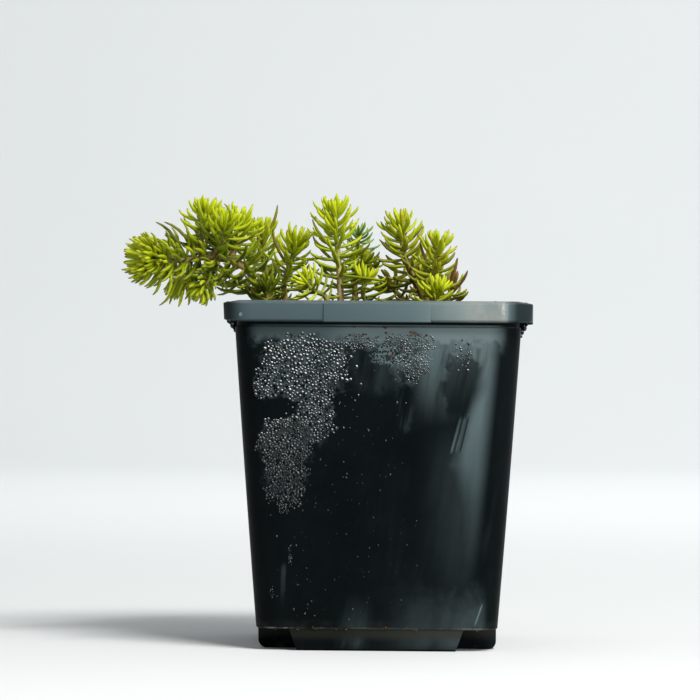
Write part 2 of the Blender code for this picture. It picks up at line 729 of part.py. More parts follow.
def join_leaves(stem, parts):
    """Fuses the parts to the stem in one union, and removes them."""
    group = bpy.data.collections.new(f"parts of {stem.name}")
    bpy.context.scene.collection.children.link(group)
    for part in parts:
        bpy.context.scene.collection.objects.unlink(part)
        group.objects.link(part)
    step = stem.modifiers.new("union", "BOOLEAN")
    step.operation = "UNION"
    step.operand_type = "COLLECTION"
    step.collection = group
    bpy.context.view_layer.objects.active = stem
    bpy.ops.object.modifier_apply(modifier=step.name)
    for part in parts:
        bpy.data.objects.remove(part, do_unlink=True)
    bpy.data.collections.remove(group)


def lay_out_stems():
    """Every sprig's shoots with their paths, frames, radii and long leaves worked out."""
    laid = {}
    for name, shoots in SPRIGS.items():
        laid[name] = []
        for number, shoot in enumerate(shoots):
            path = shoot_path(shoot, standing=number == 0)
            thick, thin = (radius * MM for radius in shoot["girth"])
            shares = [i / (len(path) - 1) for i in range(len(path))]
            radii = [thick + (thin - thick) * share for share in shares]
            if number == 0:
                radii[1] = radii[0]
            whole = dict(shoot, path=path, radii=radii, frames=frames_along(path))
            whole["long_lines"] = [long_line(whole, **leaf) for leaf in shoot.get("long_leaves", ())]
            laid[name].append(whole)
    return laid


def make_stems(stems):
    finish = material("yellow-green leaf", (0.36, 0.46, 0.035), 0.42)
    taken = {
        name: [stem_segments(shoots)]
        + [leaf_segments(shoot["long_lines"]) for shoot in shoots if shoot["long_lines"]]
        for name, shoots in stems.items()
    }
    for order, (name, shoots) in enumerate(stems.items()):
        others = joined_segments(
            [group for other, groups in taken.items() if other != name for group in groups]
        )
        parts = []
        for number, shoot in enumerate(shoots):
            bm = bmesh.new()
            swept(bm, shoot["path"], shoot["radii"], shoot["frames"], STEM_SIDES, pointed=False)
            tube = new_object(name if number == 0 else f"{name} shoot {number}", bm, finish)
            if number == 0:
                stem = tube
            else:
                parts.append(tube)
            lines = place_leaves(shoot, seed=100 * order + number, others=others)
            taken[name].append(leaf_segments(lines))
            lines += shoot["long_lines"]
            parts += [leaf_object(f"{name} leaf {number} {i}", line) for i, line in enumerate(lines)]
        join_leaves(stem, parts)


def main():
    clear_scene()
    make_pot()
    stems = lay_out_stems()
    make_soil(stems)
    make_stems(stems)


main()
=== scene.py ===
"""The looks of a potted sedum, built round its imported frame.

A yellow-green needle-leaved stonecrop trails out of a square black nursery pot whose front is beaded
with water. Everything is in metres, +Z is up, and the pot's front faces -Y.
"""

import math
import random

import bmesh
import bpy
import numpy as np
from mathutils import Matrix, Vector, noise


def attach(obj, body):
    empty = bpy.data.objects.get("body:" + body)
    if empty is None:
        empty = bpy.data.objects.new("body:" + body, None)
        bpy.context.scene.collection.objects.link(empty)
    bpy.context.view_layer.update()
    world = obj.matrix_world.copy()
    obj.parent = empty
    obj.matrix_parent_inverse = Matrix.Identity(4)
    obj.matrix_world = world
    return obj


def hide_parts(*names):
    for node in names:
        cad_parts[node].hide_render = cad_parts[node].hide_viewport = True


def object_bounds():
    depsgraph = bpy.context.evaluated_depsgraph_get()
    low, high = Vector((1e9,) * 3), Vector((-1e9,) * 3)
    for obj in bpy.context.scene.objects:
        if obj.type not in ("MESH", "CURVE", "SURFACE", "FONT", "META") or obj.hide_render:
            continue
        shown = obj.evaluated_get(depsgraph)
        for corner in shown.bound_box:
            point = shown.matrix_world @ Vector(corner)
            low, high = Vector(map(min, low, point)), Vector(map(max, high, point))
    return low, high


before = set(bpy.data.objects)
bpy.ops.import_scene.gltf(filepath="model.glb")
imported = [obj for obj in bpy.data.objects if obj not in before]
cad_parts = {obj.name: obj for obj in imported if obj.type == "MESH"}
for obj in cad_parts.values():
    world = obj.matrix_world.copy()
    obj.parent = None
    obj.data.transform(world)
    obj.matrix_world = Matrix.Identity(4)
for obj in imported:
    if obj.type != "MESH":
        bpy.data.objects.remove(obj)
cad_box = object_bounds()

MM = 0.001
QUARTER = math.pi / 2

# Camera: a long lens, level with the rim
CAMERA_DISTANCE = 1.2
CAMERA_HEIGHT = 0.092
CAMERA_AZIMUTH = math.radians(1.5)
CAMERA_AIM_SIDE = -9.269 * MM
CAMERA_AIM_HEIGHT = 0.0875
CAMERA_ROLL = math.radians(0.35)
CAMERA_LENS = 206.0

# Stage: a round floor that curves up into a wall
STAGE_RADIUS = 2.8
STAGE_WALL = 1.5
STAGE_COVE = 1.2
STAGE_STEPS = 24

# Pot: rings of (half width, corner radius, height), as in the frame's solid but finer
POT_HEIGHT = 102.0 * MM
RIM_HALF = 45.0 * MM
RIM_CORNER = 9.0 * MM
LIP_RUN = 4.2 * MM
LIP_DROP = 0.7 * MM
SKIRT_BOTTOM = 96.2 * MM
SKIRT_WALL = 1.2 * MM
SKIRT_DRAFT = 0.2 * MM
BODY_HALF_TOP = 41.65 * MM
BODY_HALF_FOOT = 35.3 * MM
BODY_CORNER_TOP = 7.5 * MM
BODY_CORNER_FOOT = 6.3 * MM
SHOULDER_Z = 94.2 * MM
SHOULDER_INSET = 0.5 * MM
STEP_Z = 6.5 * MM
BAND_INSET = 0.4 * MM
FOOT_ROUND = 2.4 * MM
SOFT_EDGE = 0.4 * MM
FLOOR = 1.4 * MM
FLOOR_ROUND = 1.2 * MM
INNER_HALF_TOP = 39.9 * MM
INNER_HALF_FOOT = 33.6 * MM
INNER_CORNER = 5.6 * MM
WALL_BULGE = 0.14 * MM
CORNER_STEPS = 12
WALL_STEPS = 6
ROUND_STEPS = 4
SMOOTH_BELOW = math.radians(34)

# The rim's label tabs and webs, and the base's notches, pads and drain holes
TAB_WIDTH = 31.0 * MM
TAB_DROP = 0.8 * MM
TAB_PROUD = 0.3 * MM
TAB_TOP = 101.15 * MM
SUNK = 0.9 * MM
WEB_THICK = 1.0 * MM
WEB_OFFSET = 30.0 * MM
WEB_FOOT_Z = 92.0 * MM
NOTCH_HEIGHT = 6.4 * MM
NOTCH_START_TOP = 25.4 * MM
NOTCH_START_FOOT = 22.4 * MM
PAD_WALL = 1.2 * MM
PAD_BITE = 0.5 * MM
DRAIN_RADIUS = 2.6 * MM
DRAIN_CENTRE = 29.3 * MM
BEYOND = 2.0 * MM

# Potting mix
SOIL_TOP = 90.0 * MM
SOIL_RELIEF = 1.1 * MM
SOIL_MOUND = 1.2 * MM
SOIL_MOUND_SPREAD = 30.0 * MM
SOIL_LUMP = 7.0 * MM
SOIL_HALF = 39.3 * MM
SOIL_CORNER = 5.8 * MM
SOIL_CELLS = 96
SOIL_DEPTH = 9.0 * MM
SOIL_EDGE_DROP = 1.2 * MM
SOIL_EDGE_FROM = 0.93
SOIL_EDGE_RUN = 0.07
ROOT_DEPTH = 12.0 * MM
COLLAR = 1.0 * MM

# The mix's two finest reliefs: the size of their lumps and their height, in millimetres
CRUMBLE = ((1.7, 0.45), (0.7, 0.2))

# Crumbs stuck under the rim: x, z and size, in millimetres
STUCK_CRUMBS = (
    (2.0, 94.3, 0.6), (2.4, 92.7, 0.5), (10.8, 92.6, 0.75), (11.8, 92.2, 0.5),
    (4.4, 85.9, 0.55), (3.6, 86.2, 0.35), (-6.5, 94.4, 0.4), (9.6, 92.9, 0.45),
)
STEP_CRUMBS = 26
LIP_CRUMBS = 16
CRUMB_TIP = 0.6
CRUMB_INSET = 2.2 * MM

# Leaves and stems
STEM_STEP = 6.0 * MM
STEM_FINE_STEP = 0.8 * MM
STEM_FINE_SIDES = 3
STEM_RINGS = 0.05
RING_TURN = 1.9
STEM_SLIM = 0.97
STEM_TIP = 0.6
STEM_TIP_FROM = 0.96
LEAF_RADIUS = 0.8 * MM
LEAF_WIDEST = 0.6
LEAF_GAP = 0.35 * MM
LONG_LEAF_BOW = 0.14
LONG_LEAF_CLIMB = 0.35
GOLDEN_ANGLE = math.radians(137.5)
LEAF_CURL = math.radians(14)
LEAF_SAMPLES = np.linspace(0.12, 1.0, 8)
CROWDING = 1.6
STEEPENING = 2.0
SHORTENING = 3.0
TURN_SHAKE = 0.25
SPREAD_SHAKE = 0.14
LENGTH_SHAKE = (0.86, 1.1)
WIDTH_SHAKE = (0.86, 1.08)
AGE_SHAKE = 0.12
SWAY = 0.03
PROBE_CLEAR = 1.6 * MM
LEAF_FLATNESS = 0.86

# What a leaf's spread and length are multiplied by, tried in turn until it clears everything else
LEAF_TRIES = ((1.0, 1.0), (0.8, 1.0), (0.62, 0.95), (0.8, 0.75), (0.5, 0.75), (1.1, 0.6))

# The finer leaves that fill the heads: they start half a turn on, and a quarter where a shoot is fuller
FINE_LEAF_RADIUS = 0.6 * MM
FINE_LEAF_GAP = 0.05 * MM
FINE_TIP_BACK = 0.25 * MM
FINE_STEEPER = 0.4
FINE_SHORTER = 0.9
FILLED_FROM = 0.35
FULLER_OFFSETS = (0.25, 0.75)
OFFSETS = (0.0, 0.5, *FULLER_OFFSETS)

# A needle's outline: its height as a share of its length, and its radius as a share of its widest
NEEDLE = ((0.0, 0.62), (0.12, 0.84), (0.34, 1.0), (0.58, 0.97), (0.78, 0.78), (0.92, 0.47), (0.985, 0.2))


def sprig(route, girth, leaves, bare, reach, spread, **more):
    return dict(route=route, girth=girth, leaves=leaves, bare=bare, reach=reach, spread=spread, **more)


# Each leafy stem: its shoots, and the first is the one that stands in the mix. A shoot is its route in
# millimetres, the stem's radius at its start and its tip, its number of leaves, the share of its length
# that has none, the longest and the shortest leaf, and how far the lowest and the topmost leaf lean out,
# in degrees. "filled" is where its finer leaves start, "fuller" gives it twice as many, "older" is the
# age its tip shows, and "slim" narrows its leaves. A long leaf is the point that it grows near, its tip,
# how bronze it is, and how far its middle is moved, where that is given.
SPRIGS = {
    "stem_trailing": [
        sprig([(-36, -6, 0), (-37, -6, 104), (-39, -7, 110), (-44, -8, 113.5), (-51, -9, 114.8),
              (-58, -10, 114), (-63.4, -11.6, 113.8), (-66.6, -13.4, 114), (-68.4, -15, 114.6)],
              (1.15, 0.75), 60, 0.24, (12, 9), (86, 48), filled=0.0, fuller=True, older=0.42,
              long_leaves=[((-57.5, -10, 114), (-67.2, -12, 125.3), 0.3),
                           ((-53.3, -10, 114.8), (-64.6, -13, 125.3), 0.4),
                           ((-59.5, -11, 113.9), (-65.8, -14, 100.2), 0.0)]),
        sprig([(-53, -9, 114.8), (-53.6, -8, 119), (-53.2, -7, 124), (-52.4, -6, 128.2)], (0.95, 0.7), 30,
              0.1, (9, 6), (80, 22), filled=0.0),
        sprig([(-50, -9, 114.8), (-48, -10, 118.5), (-46.8, -11, 121.5), (-46.4, -11, 124.6)], (0.95, 0.7),
              22, 0.1, (9.5, 6.4), (62, 22), filled=0.0,
              long_leaves=[((-50.5, -9, 114.8), (-46.6, -14, 131), 0.0, (3.6, 0, 0))]),
        sprig([(-45, -8, 113.8), (-43.4, -5, 118), (-42.6, -3, 122), (-42.6, -3, 125.2)], (0.9, 0.7), 24,
              0.1, (9.5, 6), (66, 22), filled=0.0,
              long_leaves=[((-42.8, -4, 120), (-43.5, -5, 130.2), 0.3)]),
        sprig([(-48, -9, 114.4), (-50.2, -11, 111), (-51.8, -12, 108), (-53, -12.5, 105)], (0.85, 0.65), 22,
              0.1, (7.4, 5), (70, 26), filled=0.0, older=0.4,
              long_leaves=[((-49.5, -10.4, 112), (-42.1, -14, 106.2), 0.0)]),
        sprig([(-56.5, -9, 114.4), (-57.4, -7, 110.4), (-59, -6, 106.8)], (0.85, 0.6), 13, 0.15, (9, 7),
              (60, 24), filled=0.0, older=0.4,
              long_leaves=[((-57, -7.5, 111), (-62.8, -11, 100.5), 0.0)]),
    ],
    "stem_left_back": [
        sprig([(-32, 12, 0), (-34, 12, 106), (-35.6, 12, 112), (-36.4, 12, 118), (-36.4, 12, 122.6)],
              (1.1, 0.75), 32, 0.24, (9.5, 6.2), (76, 24),
              long_leaves=[((-35.9, 12, 115.5), (-38.9, 10, 127.7), 0.8),
                           ((-35.6, 12, 119), (-31.8, 10, 131.5), 0.5)]),
    ],
    "stem_left_middle": [
        sprig([(-27, 1, 0), (-29.2, 1, 105), (-28.4, 0, 110), (-26.8, 0, 115), (-25.4, -1, 119.4)],
              (1.1, 0.75), 34, 0.24, (10, 6.6), (78, 30),
              long_leaves=[((-27.6, 0, 112), (-32.6, -1, 124.1), 0.7)]),
    ],
    "stem_left_low": [
        sprig([(-31, -12, 0), (-32, -12, 99), (-33.6, -12.6, 103.4), (-34.4, -13, 107)], (1.0, 0.7), 24,
              0.24, (10, 6), (82, 30), filled=0.0),
    ],
    "stem_front_low": [
        sprig([(-13.5, -19, 0), (-15.5, -19.5, 102.4), (-18.4, -20, 104.6), (-20.6, -20, 106),
              (-22, -20, 107.8)], (1.0, 0.7), 22, 0.36, (7.8, 5), (72, 30), slim=0.8),
    ],
    "stem_centre": [
        sprig([(-12, -5, 0), (-12, -5, 103), (-12.4, -5, 110), (-13, -4.5, 117.4), (-13.6, -4, 123),
              (-13.8, -4, 128.4)], (1.15, 0.75), 46, 0.26, (11, 6.4), (76, 28),
              long_leaves=[((-12.9, -4.6, 116), (-20.6, -7, 126.8), 0.3),
                           ((-12.6, -4.9, 113), (-20.7, -3, 122.3), 0.3),
                           ((-12.8, -4.7, 115), (-3, -8, 119.7), 0.4),
                           ((-12.3, -5, 109.8), (2.2, -13.6, 108), 0.0, (0, -3, 0))]),
    ],
    "stem_centre_back": [
        sprig([(-9, 21, 0), (-8.6, 21, 106), (-8.2, 21, 112), (-7.8, 21, 118), (-7.6, 21, 122.8)],
              (1.0, 0.65), 24, 0.42, (7.6, 5.2), (84, 46), slim=0.7,
              long_leaves=[((-7.8, 21, 117), (0.2, 16, 114.7), 0.6)]),
    ],
    "stem_centre_right": [
        sprig([(-7, 9, 0), (-8, 9, 104), (-8.6, 9, 108), (-7.6, 8.5, 111.4), (-5.6, 8, 113.6)], (1.0, 0.7),
              22, 0.26, (9, 6), (80, 28)),
    ],
    "stem_right_of_centre": [
        sprig([(-3, -7, 0), (-4, -7, 101), (-5.2, -8, 104), (-5, -8.5, 106.6), (-4.6, -8.5, 108.4)],
              (0.95, 0.7), 20, 0.26, (9.5, 6), (84, 34), filled=0.6, slim=0.85),
    ],
    "stem_right_tall": [
        sprig([(14, 2, 0), (12.6, 2, 102.5), (9.6, 1, 108.8), (7.6, 0, 114), (6.4, 0, 118.6),
              (5.6, -1, 124.8)], (1.2, 0.75), 38, 0.3, (10, 6.6), (72, 28),
              long_leaves=[((7.4, 0, 114.8), (-0.4, -2, 120.7), 0.5),
                           ((6.2, -0.2, 120), (-0.4, -2, 126.3), 0.2),
                           ((6.2, -0.2, 119.6), (12.3, 1, 125.8), 0.2),
                           ((12, 2, 103.8), (6.8, -3, 115.8), 1.0)]),
    ],
    "stem_right_front": [
        sprig([(17, -12, 0), (15.8, -12, 103), (15.8, -12, 109), (16.2, -12, 114), (17, -12, 118.6)],
              (1.15, 0.75), 32, 0.32, (8.8, 6.4), (70, 30),
              long_leaves=[((15.8, -12, 110), (11.7, -11, 120.2), 1.0),
                           ((16.2, -12, 112), (22.2, -12, 117), 0.3)]),
    ],
    "stem_right_low": [
        sprig([(16, -24, 0), (16.2, -24.5, 101), (16.6, -25, 103.4), (17, -25, 105.6)], (0.95, 0.7), 18,
              0.36, (7.6, 5.4), (64, 30)),
    ],
    "stem_right_red": [
        sprig([(21, 8, 0), (20, 7, 101), (20.2, 6.5, 103.6), (20.8, 6, 106)], (1.0, 0.7), 9, 0.26, (9, 7),
              (62, 24),
              long_leaves=[((20.6, 6.2, 105.4), (22.8, 5, 115.7), 1.0),
                           ((20.3, 6.4, 104), (25.9, 4, 111.9), 1.0),
                           ((20.2, 6.6, 103), (26.2, 4, 105.5), 0.3)]),
    ],
    "stem_right_left": [
        sprig([(10, 11, 0), (8.6, 11, 100.6), (6, 10.5, 103.4), (3.8, 10, 105.4), (2.8, 10, 106.8)],
              (1.0, 0.7), 17, 0.3, (9.5, 6), (72, 28), filled=0.8,
              long_leaves=[((4.6, 10.2, 104.8), (-0.6, 8, 111.9), 0.7)]),
    ],
    "stem_right_back": [
        sprig([(14, 16, 0), (13.8, 16, 104), (13.4, 15.5, 109), (12.8, 15, 113)], (0.95, 0.7), 18, 0.36,
              (8.5, 6), (66, 26)),
    ],
    "young_back_left": [
        sprig([(-21, 27, 0), (-21, 27, 95), (-21.6, 27, 98)], (0.9, 0.65), 13, 0.3, (7, 4.8), (72, 26)),
    ],
    "young_back_right": [
        sprig([(26, 26, 0), (26, 26, 94.6), (26.4, 25.4, 97.6)], (0.9, 0.65), 13, 0.3, (7, 4.8), (72, 26)),
    ],
    "young_right": [
        sprig([(31, -10, 0), (31, -10, 94.6), (30.6, -9.6, 97.4)], (0.9, 0.65), 12, 0.3, (6.5, 4.8),
              (72, 26)),
    ],
}

# How far each stem's leaves lean to bronze and to blue-green, where they do
BRONZE = {"stem_right_red": 0.95, "stem_right_tall": 0.35, "stem_right_left": 0.2, "stem_right_front": 0.3}
BLUE = {"stem_centre_back": 1.0, "stem_right_back": 0.3}

# How far a stem's bark leans to pale tan, where it does
PALE = {"stem_centre": 1.0, "stem_right_of_centre": 0.5}

# How old the tips of a stem look, where they aren't fresh. On stem_left_low this old, dark colour is painted
# shade, for the shadow under the trailing shoot.
OLDER_OR_SHADED = {"stem_left_low": 0.85, "stem_right_left": 0.2, "stem_centre_right": 0.5}

# Beads of water, in millimetres and in shares of their radius. They slant with the runs.
BEAD_RADIUS = (0.3, 0.62)
BEAD_TALL = (0.9, 1.5)
BEAD_PROUD = (0.45, 0.75)
BEAD_SLANT = math.radians(-32)
BEAD_TURN = 0.5
BEAD_REACH = 1.2
BEAD_APART = 0.98
BEADS_WITHIN = 36.0
BEADS_BELOW = 92.4
STRAY_BEADS = 190
DROP_TALL = 1.3

# Patches of beads on the front: centre x and z, half width and half height, beads tried per mm2, and
# their size. The film greys the thick ones.
BEAD_PATCHES = (
    (-20.8, 83.2, 12.4, 9.4, 8.0, 1.0),
    (-31.6, 77.6, 3.8, 4.6, 6.0, 0.85),
    (-18.0, 68.4, 5.4, 7.6, 9.0, 0.85),
    (-26.4, 60.4, 7.6, 8.0, 9.0, 0.8),
    (-26.6, 51.0, 6.2, 7.0, 5.6, 0.75),
    (-25.6, 43.4, 3.2, 3.4, 3.0, 0.65),
    (-5.2, 89.8, 5.4, 2.6, 5.0, 0.6),
    (-25.0, 28.2, 0.8, 2.8, 4.6, 0.45),
    (-30.4, 16.8, 0.5, 2.2, 3.6, 0.5),
    (7.8, 89.8, 9.4, 2.6, 4.0, 0.6),
    (10.4, 83.6, 5.0, 4.8, 3.0, 0.55),
    (24.6, 86.4, 2.4, 4.6, 1.0, 0.6),
)
THICK_BEADS = 5.0

# Drops that hang from the ends of the webs under the rim: x, y, z and radius
HANGING_DROPS = (
    (-43.6, -30.2, 95.7, 0.55), (-42.7, -30.3, 94.6, 0.7),
    (-41.9, -30.2, 93.2, 0.5), (-42.3, -30.4, 93.9, 0.4),
    (43.4, -30.2, 95.6, 0.5), (42.6, -30.3, 94.3, 0.75),
    (42.0, -30.3, 93.0, 0.55), (41.7, -30.2, 91.9, 0.4),
)

# Soft patches on the front: centre x and z, half width and half height, in millimetres
BEAD_GAP = (-29.6, 70.6, 6.0, 3.0)
WIPED = (25.0, 77.6, 5.8, 10.4)
SPLASH = (9.4, 84.2, 6.6, 7.2)
FROTH = (8.6, 87.0, 9.6, 5.0)
WASH_MARK = (0.5, 85.0, 10.0, 9.0)
RUN_OFF = (8.5, 74.0, 3.4, 9.0)
# The rim's two spots are painted glints, pale where light catches its ends.
RIM_GLINTS = ((-39.4, 97.6, 0.5, 0.7), (36.4, 98.6, 0.45, 2.6))

# Thin slanting marks on the front: the top and the foot of each, as x and z, and its half width. The
# scrape is a bare line in the film beside the two smears.
SMEARS = (((24.3, 68.4), (21.5, 57.6), 0.55), ((25.5, 68.6), (22.9, 57.8), 0.5))
SCRAPE = ((26.6, 68.8), (24.0, 57.8), 0.5)
SMUDGE = ((-26.9, 25.4), (-27.4, 12.0), 1.0)
DRIED_RUN = ((30.9, 14.2), (28.5, 7.2), 0.4)


# Chance, turns and places on the front


def shake(draw, amount):
    """A random value, up to an amount either side of nought."""
    return draw.uniform(-amount, amount)


def turned(angle, axis):
    return Matrix.Rotation(angle, 4, axis)


def bulge_at(share):
    """How far the pot's wall bulges out at a share of its height."""
    return WALL_BULGE * 4 * share * (1 - share)


def on_front(x, z):
    """The place on the pot's front wall at a distance across and a height."""
    share = (z - STEP_Z) / (SHOULDER_Z - STEP_Z)
    forward = BODY_HALF_FOOT + (BODY_HALF_TOP - BODY_HALF_FOOT) * share + bulge_at(share)
    return Vector((x, -forward, z))


# Selecting, editing and joining


def deselect():
    bpy.ops.object.select_all(action="DESELECT")


def activate(obj):
    deselect()
    obj.select_set(True)
    bpy.context.view_layer.objects.active = obj
    return obj


def named(name):
    """The object just made, under its own name."""
    made = bpy.context.object
    made.name = name
    return made


def linked(name, data):
    made = bpy.data.objects.new(name, data)
    bpy.context.scene.collection.objects.link(made)
    return made


def remove(obj):
    bpy.data.objects.remove(obj, do_unlink=True)


def joined(parts, name):
    """The parts as one object, at the origin."""
    deselect()
    for part in parts:
        part.select_set(True)
    bpy.context.view_layer.objects.active = parts[0]
    if len(parts) > 1:
        bpy.ops.object.join()
    whole = bpy.context.view_layer.objects.active
    whole.name = whole.data.name = name
    return whole


def settle(obj):
    """Puts the object's place, turn and size into its mesh."""
    activate(obj)
    bpy.ops.object.transform_apply(location=True, rotation=True, scale=True)
    return obj


def boolean(obj, other, operation):
    """Joins other to obj, or cuts it out, and removes other."""
    activate(obj)
    step = obj.modifiers.new("boolean", "BOOLEAN")
    step.operation = operation
    step.solver = "EXACT"
    step.object = other
    bpy.ops.object.modifier_apply(modifier=step.name)
    remove(other)


def start_edit():
    """Opens the active object for editing, with all of it selected."""
    bpy.ops.object.mode_set(mode="EDIT")
    bpy.ops.mesh.select_all(action="SELECT")


def end_edit(outward=True):
    """Closes it again, with its faces turned outward."""
    if outward:
        bpy.ops.mesh.select_all(action="SELECT")
        bpy.ops.mesh.normals_make_consistent(inside=False)
    bpy.ops.object.mode_set(mode="OBJECT")


def extrude(rise, scale=None):
    """Extrudes what is selected straight up, and then scales it."""
    bpy.ops.mesh.extrude_region_move(TRANSFORM_OT_translate={"value": (0, 0, rise)})
    if scale:
        bpy.ops.transform.resize(value=scale)


def coated(obj, look):
    """Gives the object one material all over."""
    obj.data.materials.clear()
    obj.data.materials.append(look)
    return obj


def placed(obj, slot, *nodes):
    """Rides the piece on the part's one body and hides the frame's parts that it stands in for."""
    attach(obj, "root")
    if nodes:
        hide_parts(*nodes)
    return obj


# Shader nodes: a sum on a field becomes a Math node in the tree that is being built


class Field:
    """The output of a shader node, which can be counted with."""

    tree = None

    def __init__(self, socket):
        self.socket = socket

    def __add__(self, other):
        return calc("ADD", self, other)

    def __radd__(self, other):
        return calc("ADD", other, self)

    def __sub__(self, other):
        return calc("SUBTRACT", self, other)

    def __rsub__(self, other):
        return calc("SUBTRACT", other, self)

    def __mul__(self, other):
        return calc("MULTIPLY", self, other)

    def __pow__(self, other):
        return calc("POWER", self, other)

    def __abs__(self):
        return calc("ABSOLUTE", self)


def new_node(kind, inputs, **settings):
    """A node with its settings, and each input given as a value or as the field that feeds it."""
    made = Field.tree.nodes.new(kind)
    for key, value in settings.items():
        setattr(made, key, value)
    for key, value in inputs.items():
        if isinstance(value, Field):
            Field.tree.links.new(value.socket, made.inputs[key])
        else:
            made.inputs[key].default_value = value
    return made


def field(kind, inputs, output=0, **settings):
    return Field(new_node(kind, inputs, **settings).outputs[output])


def calc(operation, a, b=0.0, clamp=False):
    return field("ShaderNodeMath", {0: a, 1: b}, operation=operation, use_clamp=clamp)


def most(a, b):
    return calc("MAXIMUM", a, b)


def fade(value, low, high):
    """0 at low and 1 at high, with a smooth change between."""
    inputs = {"Value": value, "From Min": low, "From Max": high}
    if low > high:
        inputs = {"Value": value, "From Min": high, "From Max": low, "To Min": 1.0, "To Max": 0.0}
    return field("ShaderNodeMapRange", inputs, interpolation_type="SMOOTHSTEP")


def over(value, low, high):
    """0 at low and 1 at high, both in millimetres."""
    return fade(value, low * MM, high * MM)


def blend(factor, a, b):
    """Colour a where the factor is 0 and colour b where it is 1."""
    colours = {key: (*value, 1.0) if isinstance(value, tuple) else value for key, value in ((6, a), (7, b))}
    return field("ShaderNodeMix", {0: factor, **colours}, 2, data_type="RGBA")


def painted(colour, *layers):
    """The colour with each layer's colour over it, as far as the layer's factor says."""
    for factor, layer in layers:
        colour = blend(factor, colour, layer)
    return colour


def noise_of(vector, scale, detail=2.0, roughness=0.5, distortion=0.0):
    values = {"Scale": scale, "Detail": detail, "Roughness": roughness, "Distortion": distortion}
    return field("ShaderNodeTexNoise", {"Vector": vector, **values})


def cells_of(vector, scale):
    return field("ShaderNodeTexVoronoi", {"Vector": vector, "Scale": scale}, "Distance")


def object_point():
    return field("ShaderNodeTexCoord", {}, "Object")


def facing():
    return field("ShaderNodeNewGeometry", {}, "Normal")


def parted(vector):
    return [Field(socket) for socket in new_node("ShaderNodeSeparateXYZ", {0: vector}).outputs]


def vector_of(x, y, z):
    return field("ShaderNodeCombineXYZ", {0: x, 1: y, 2: z})


def attribute(name):
    """The three values of a mesh's attribute."""
    return parted(field("ShaderNodeAttribute", {}, "Vector", attribute_name=name))


def bump(height, distance, strength, **normal):
    return field("ShaderNodeBump", {"Height": height, "Distance": distance, "Strength": strength, **normal})


def new_material(name, **values):
    """A new material with plain values set on its shader. The nodes made next go into its tree."""
    made = bpy.data.materials.new(name)
    made.use_nodes = True
    Field.tree = made.node_tree
    for key, value in values.items():
        made.node_tree.nodes["Principled BSDF"].inputs[key.replace("_", " ")].default_value = value
    return made


def feed(made, **fields):
    """Links fields to the inputs of the material's shader."""
    tree = made.node_tree
    for key, value in fields.items():
        tree.links.new(value.socket, tree.nodes["Principled BSDF"].inputs[key.replace("_", " ")])
    return made


def new_group(name, inputs, outputs):
    """An empty node group with its sockets, and the fields of its inputs."""
    made = Field.tree = bpy.data.node_groups.new(name, "ShaderNodeTree")
    for label, default in inputs.items():
        socket = made.interface.new_socket(label, in_out="INPUT", socket_type="NodeSocketFloat")
        socket.default_value = default
    for label in outputs:
        made.interface.new_socket(label, in_out="OUTPUT", socket_type="NodeSocketFloat")
    given = new_node("NodeGroupInput", {}).outputs
    return made, *(Field(given[label]) for label in inputs)


def grouped(group, **values):
    """The outputs of a node group that has these values."""
    return [Field(socket) for socket in new_node("ShaderNodeGroup", values, node_tree=group).outputs]


def mottle_group():
    """Blotches and fine grain, both from 0 to 1, for colour and relief."""
    made, scale, grain = new_group("mottle", {"Scale": 100.0, "Grain": 1500.0}, ("Blotch", "Fine"))
    broad = noise_of(object_point(), scale, detail=4.0, roughness=0.6, distortion=0.4)
    fine = noise_of(object_point(), grain, detail=3.0, roughness=0.7)
    new_node("NodeGroupOutput", {"Blotch": fade(broad, 0.3, 0.7), "Fine": fine})
    return made


def dust_group():
    """Settled dust: where a face looks up, broken by noise."""
    made, amount, scale = new_group("settled dust", {"Amount": 0.5, "Scale": 220.0}, ("Mask",))
    broken = fade(noise_of(object_point(), scale, 4.0, 0.65), 0.35, 0.7)
    new_node("NodeGroupOutput", {"Mask": fade(parted(facing())[2], 0.1, 0.95) * broken * amount})
    return made


# Marks on the pot, with the rim's painted light and shade. A point is its x, y and z fields, and "ragged" is
# noise that breaks an edge.


def soft_patch(x, z, patch, ragged):
    """A rounded patch on the front that fades out at a ragged edge."""
    across, height, half_width, half_height = patch
    side = (x - across * MM) * (1 / (half_width * MM))
    rise = (z - height * MM) * (1 / (half_height * MM))
    return fade(abs(side) ** 2.0 + abs(rise) ** 2.0 + ragged, 1.5, 0.6)


def line_through(z, at_top, slope):
    """The x of a slanting edge at a height: at_top at the shoulder, and slope less for each metre down."""
    return at_top * MM - (SHOULDER_Z - z) * slope


def stroke(x, z, top, foot, half_width):
    """A thin slanting mark from its top to its foot."""
    slope = (top[0] - foot[0]) / (top[1] - foot[1])
    middle = foot[0] * MM + (z - foot[1] * MM) * slope
    thin = over(abs(x - middle), half_width, half_width * 0.3)
    return thin * over(z, foot[1] - 0.8, foot[1] + 1.6) * over(z, top[1] + 0.8, top[1] - 1.6)


def run_marks(point, lean, wide, scale, detail=4.0):
    """Noise drawn out down the walls: lean tips it over and wide squeezes it across."""
    x, y, z = point
    sheared = x + y * 0.6 - z * lean
    return noise_of(vector_of(sheared * wide, y, z), scale, detail, 0.6)


def wet_patches(x, z, ragged):
    """Where the beads stand thickest."""
    total = 0.0
    for *patch, density, _ in BEAD_PATCHES:
        if density > THICK_BEADS:
            total = most(total, soft_patch(x, z, patch, ragged))
    thinner = 0.25 + over(z, 52, 78) * 0.75
    return total * thinner * fade(soft_patch(x, z, BEAD_GAP, ragged), 1.0, 0.2)


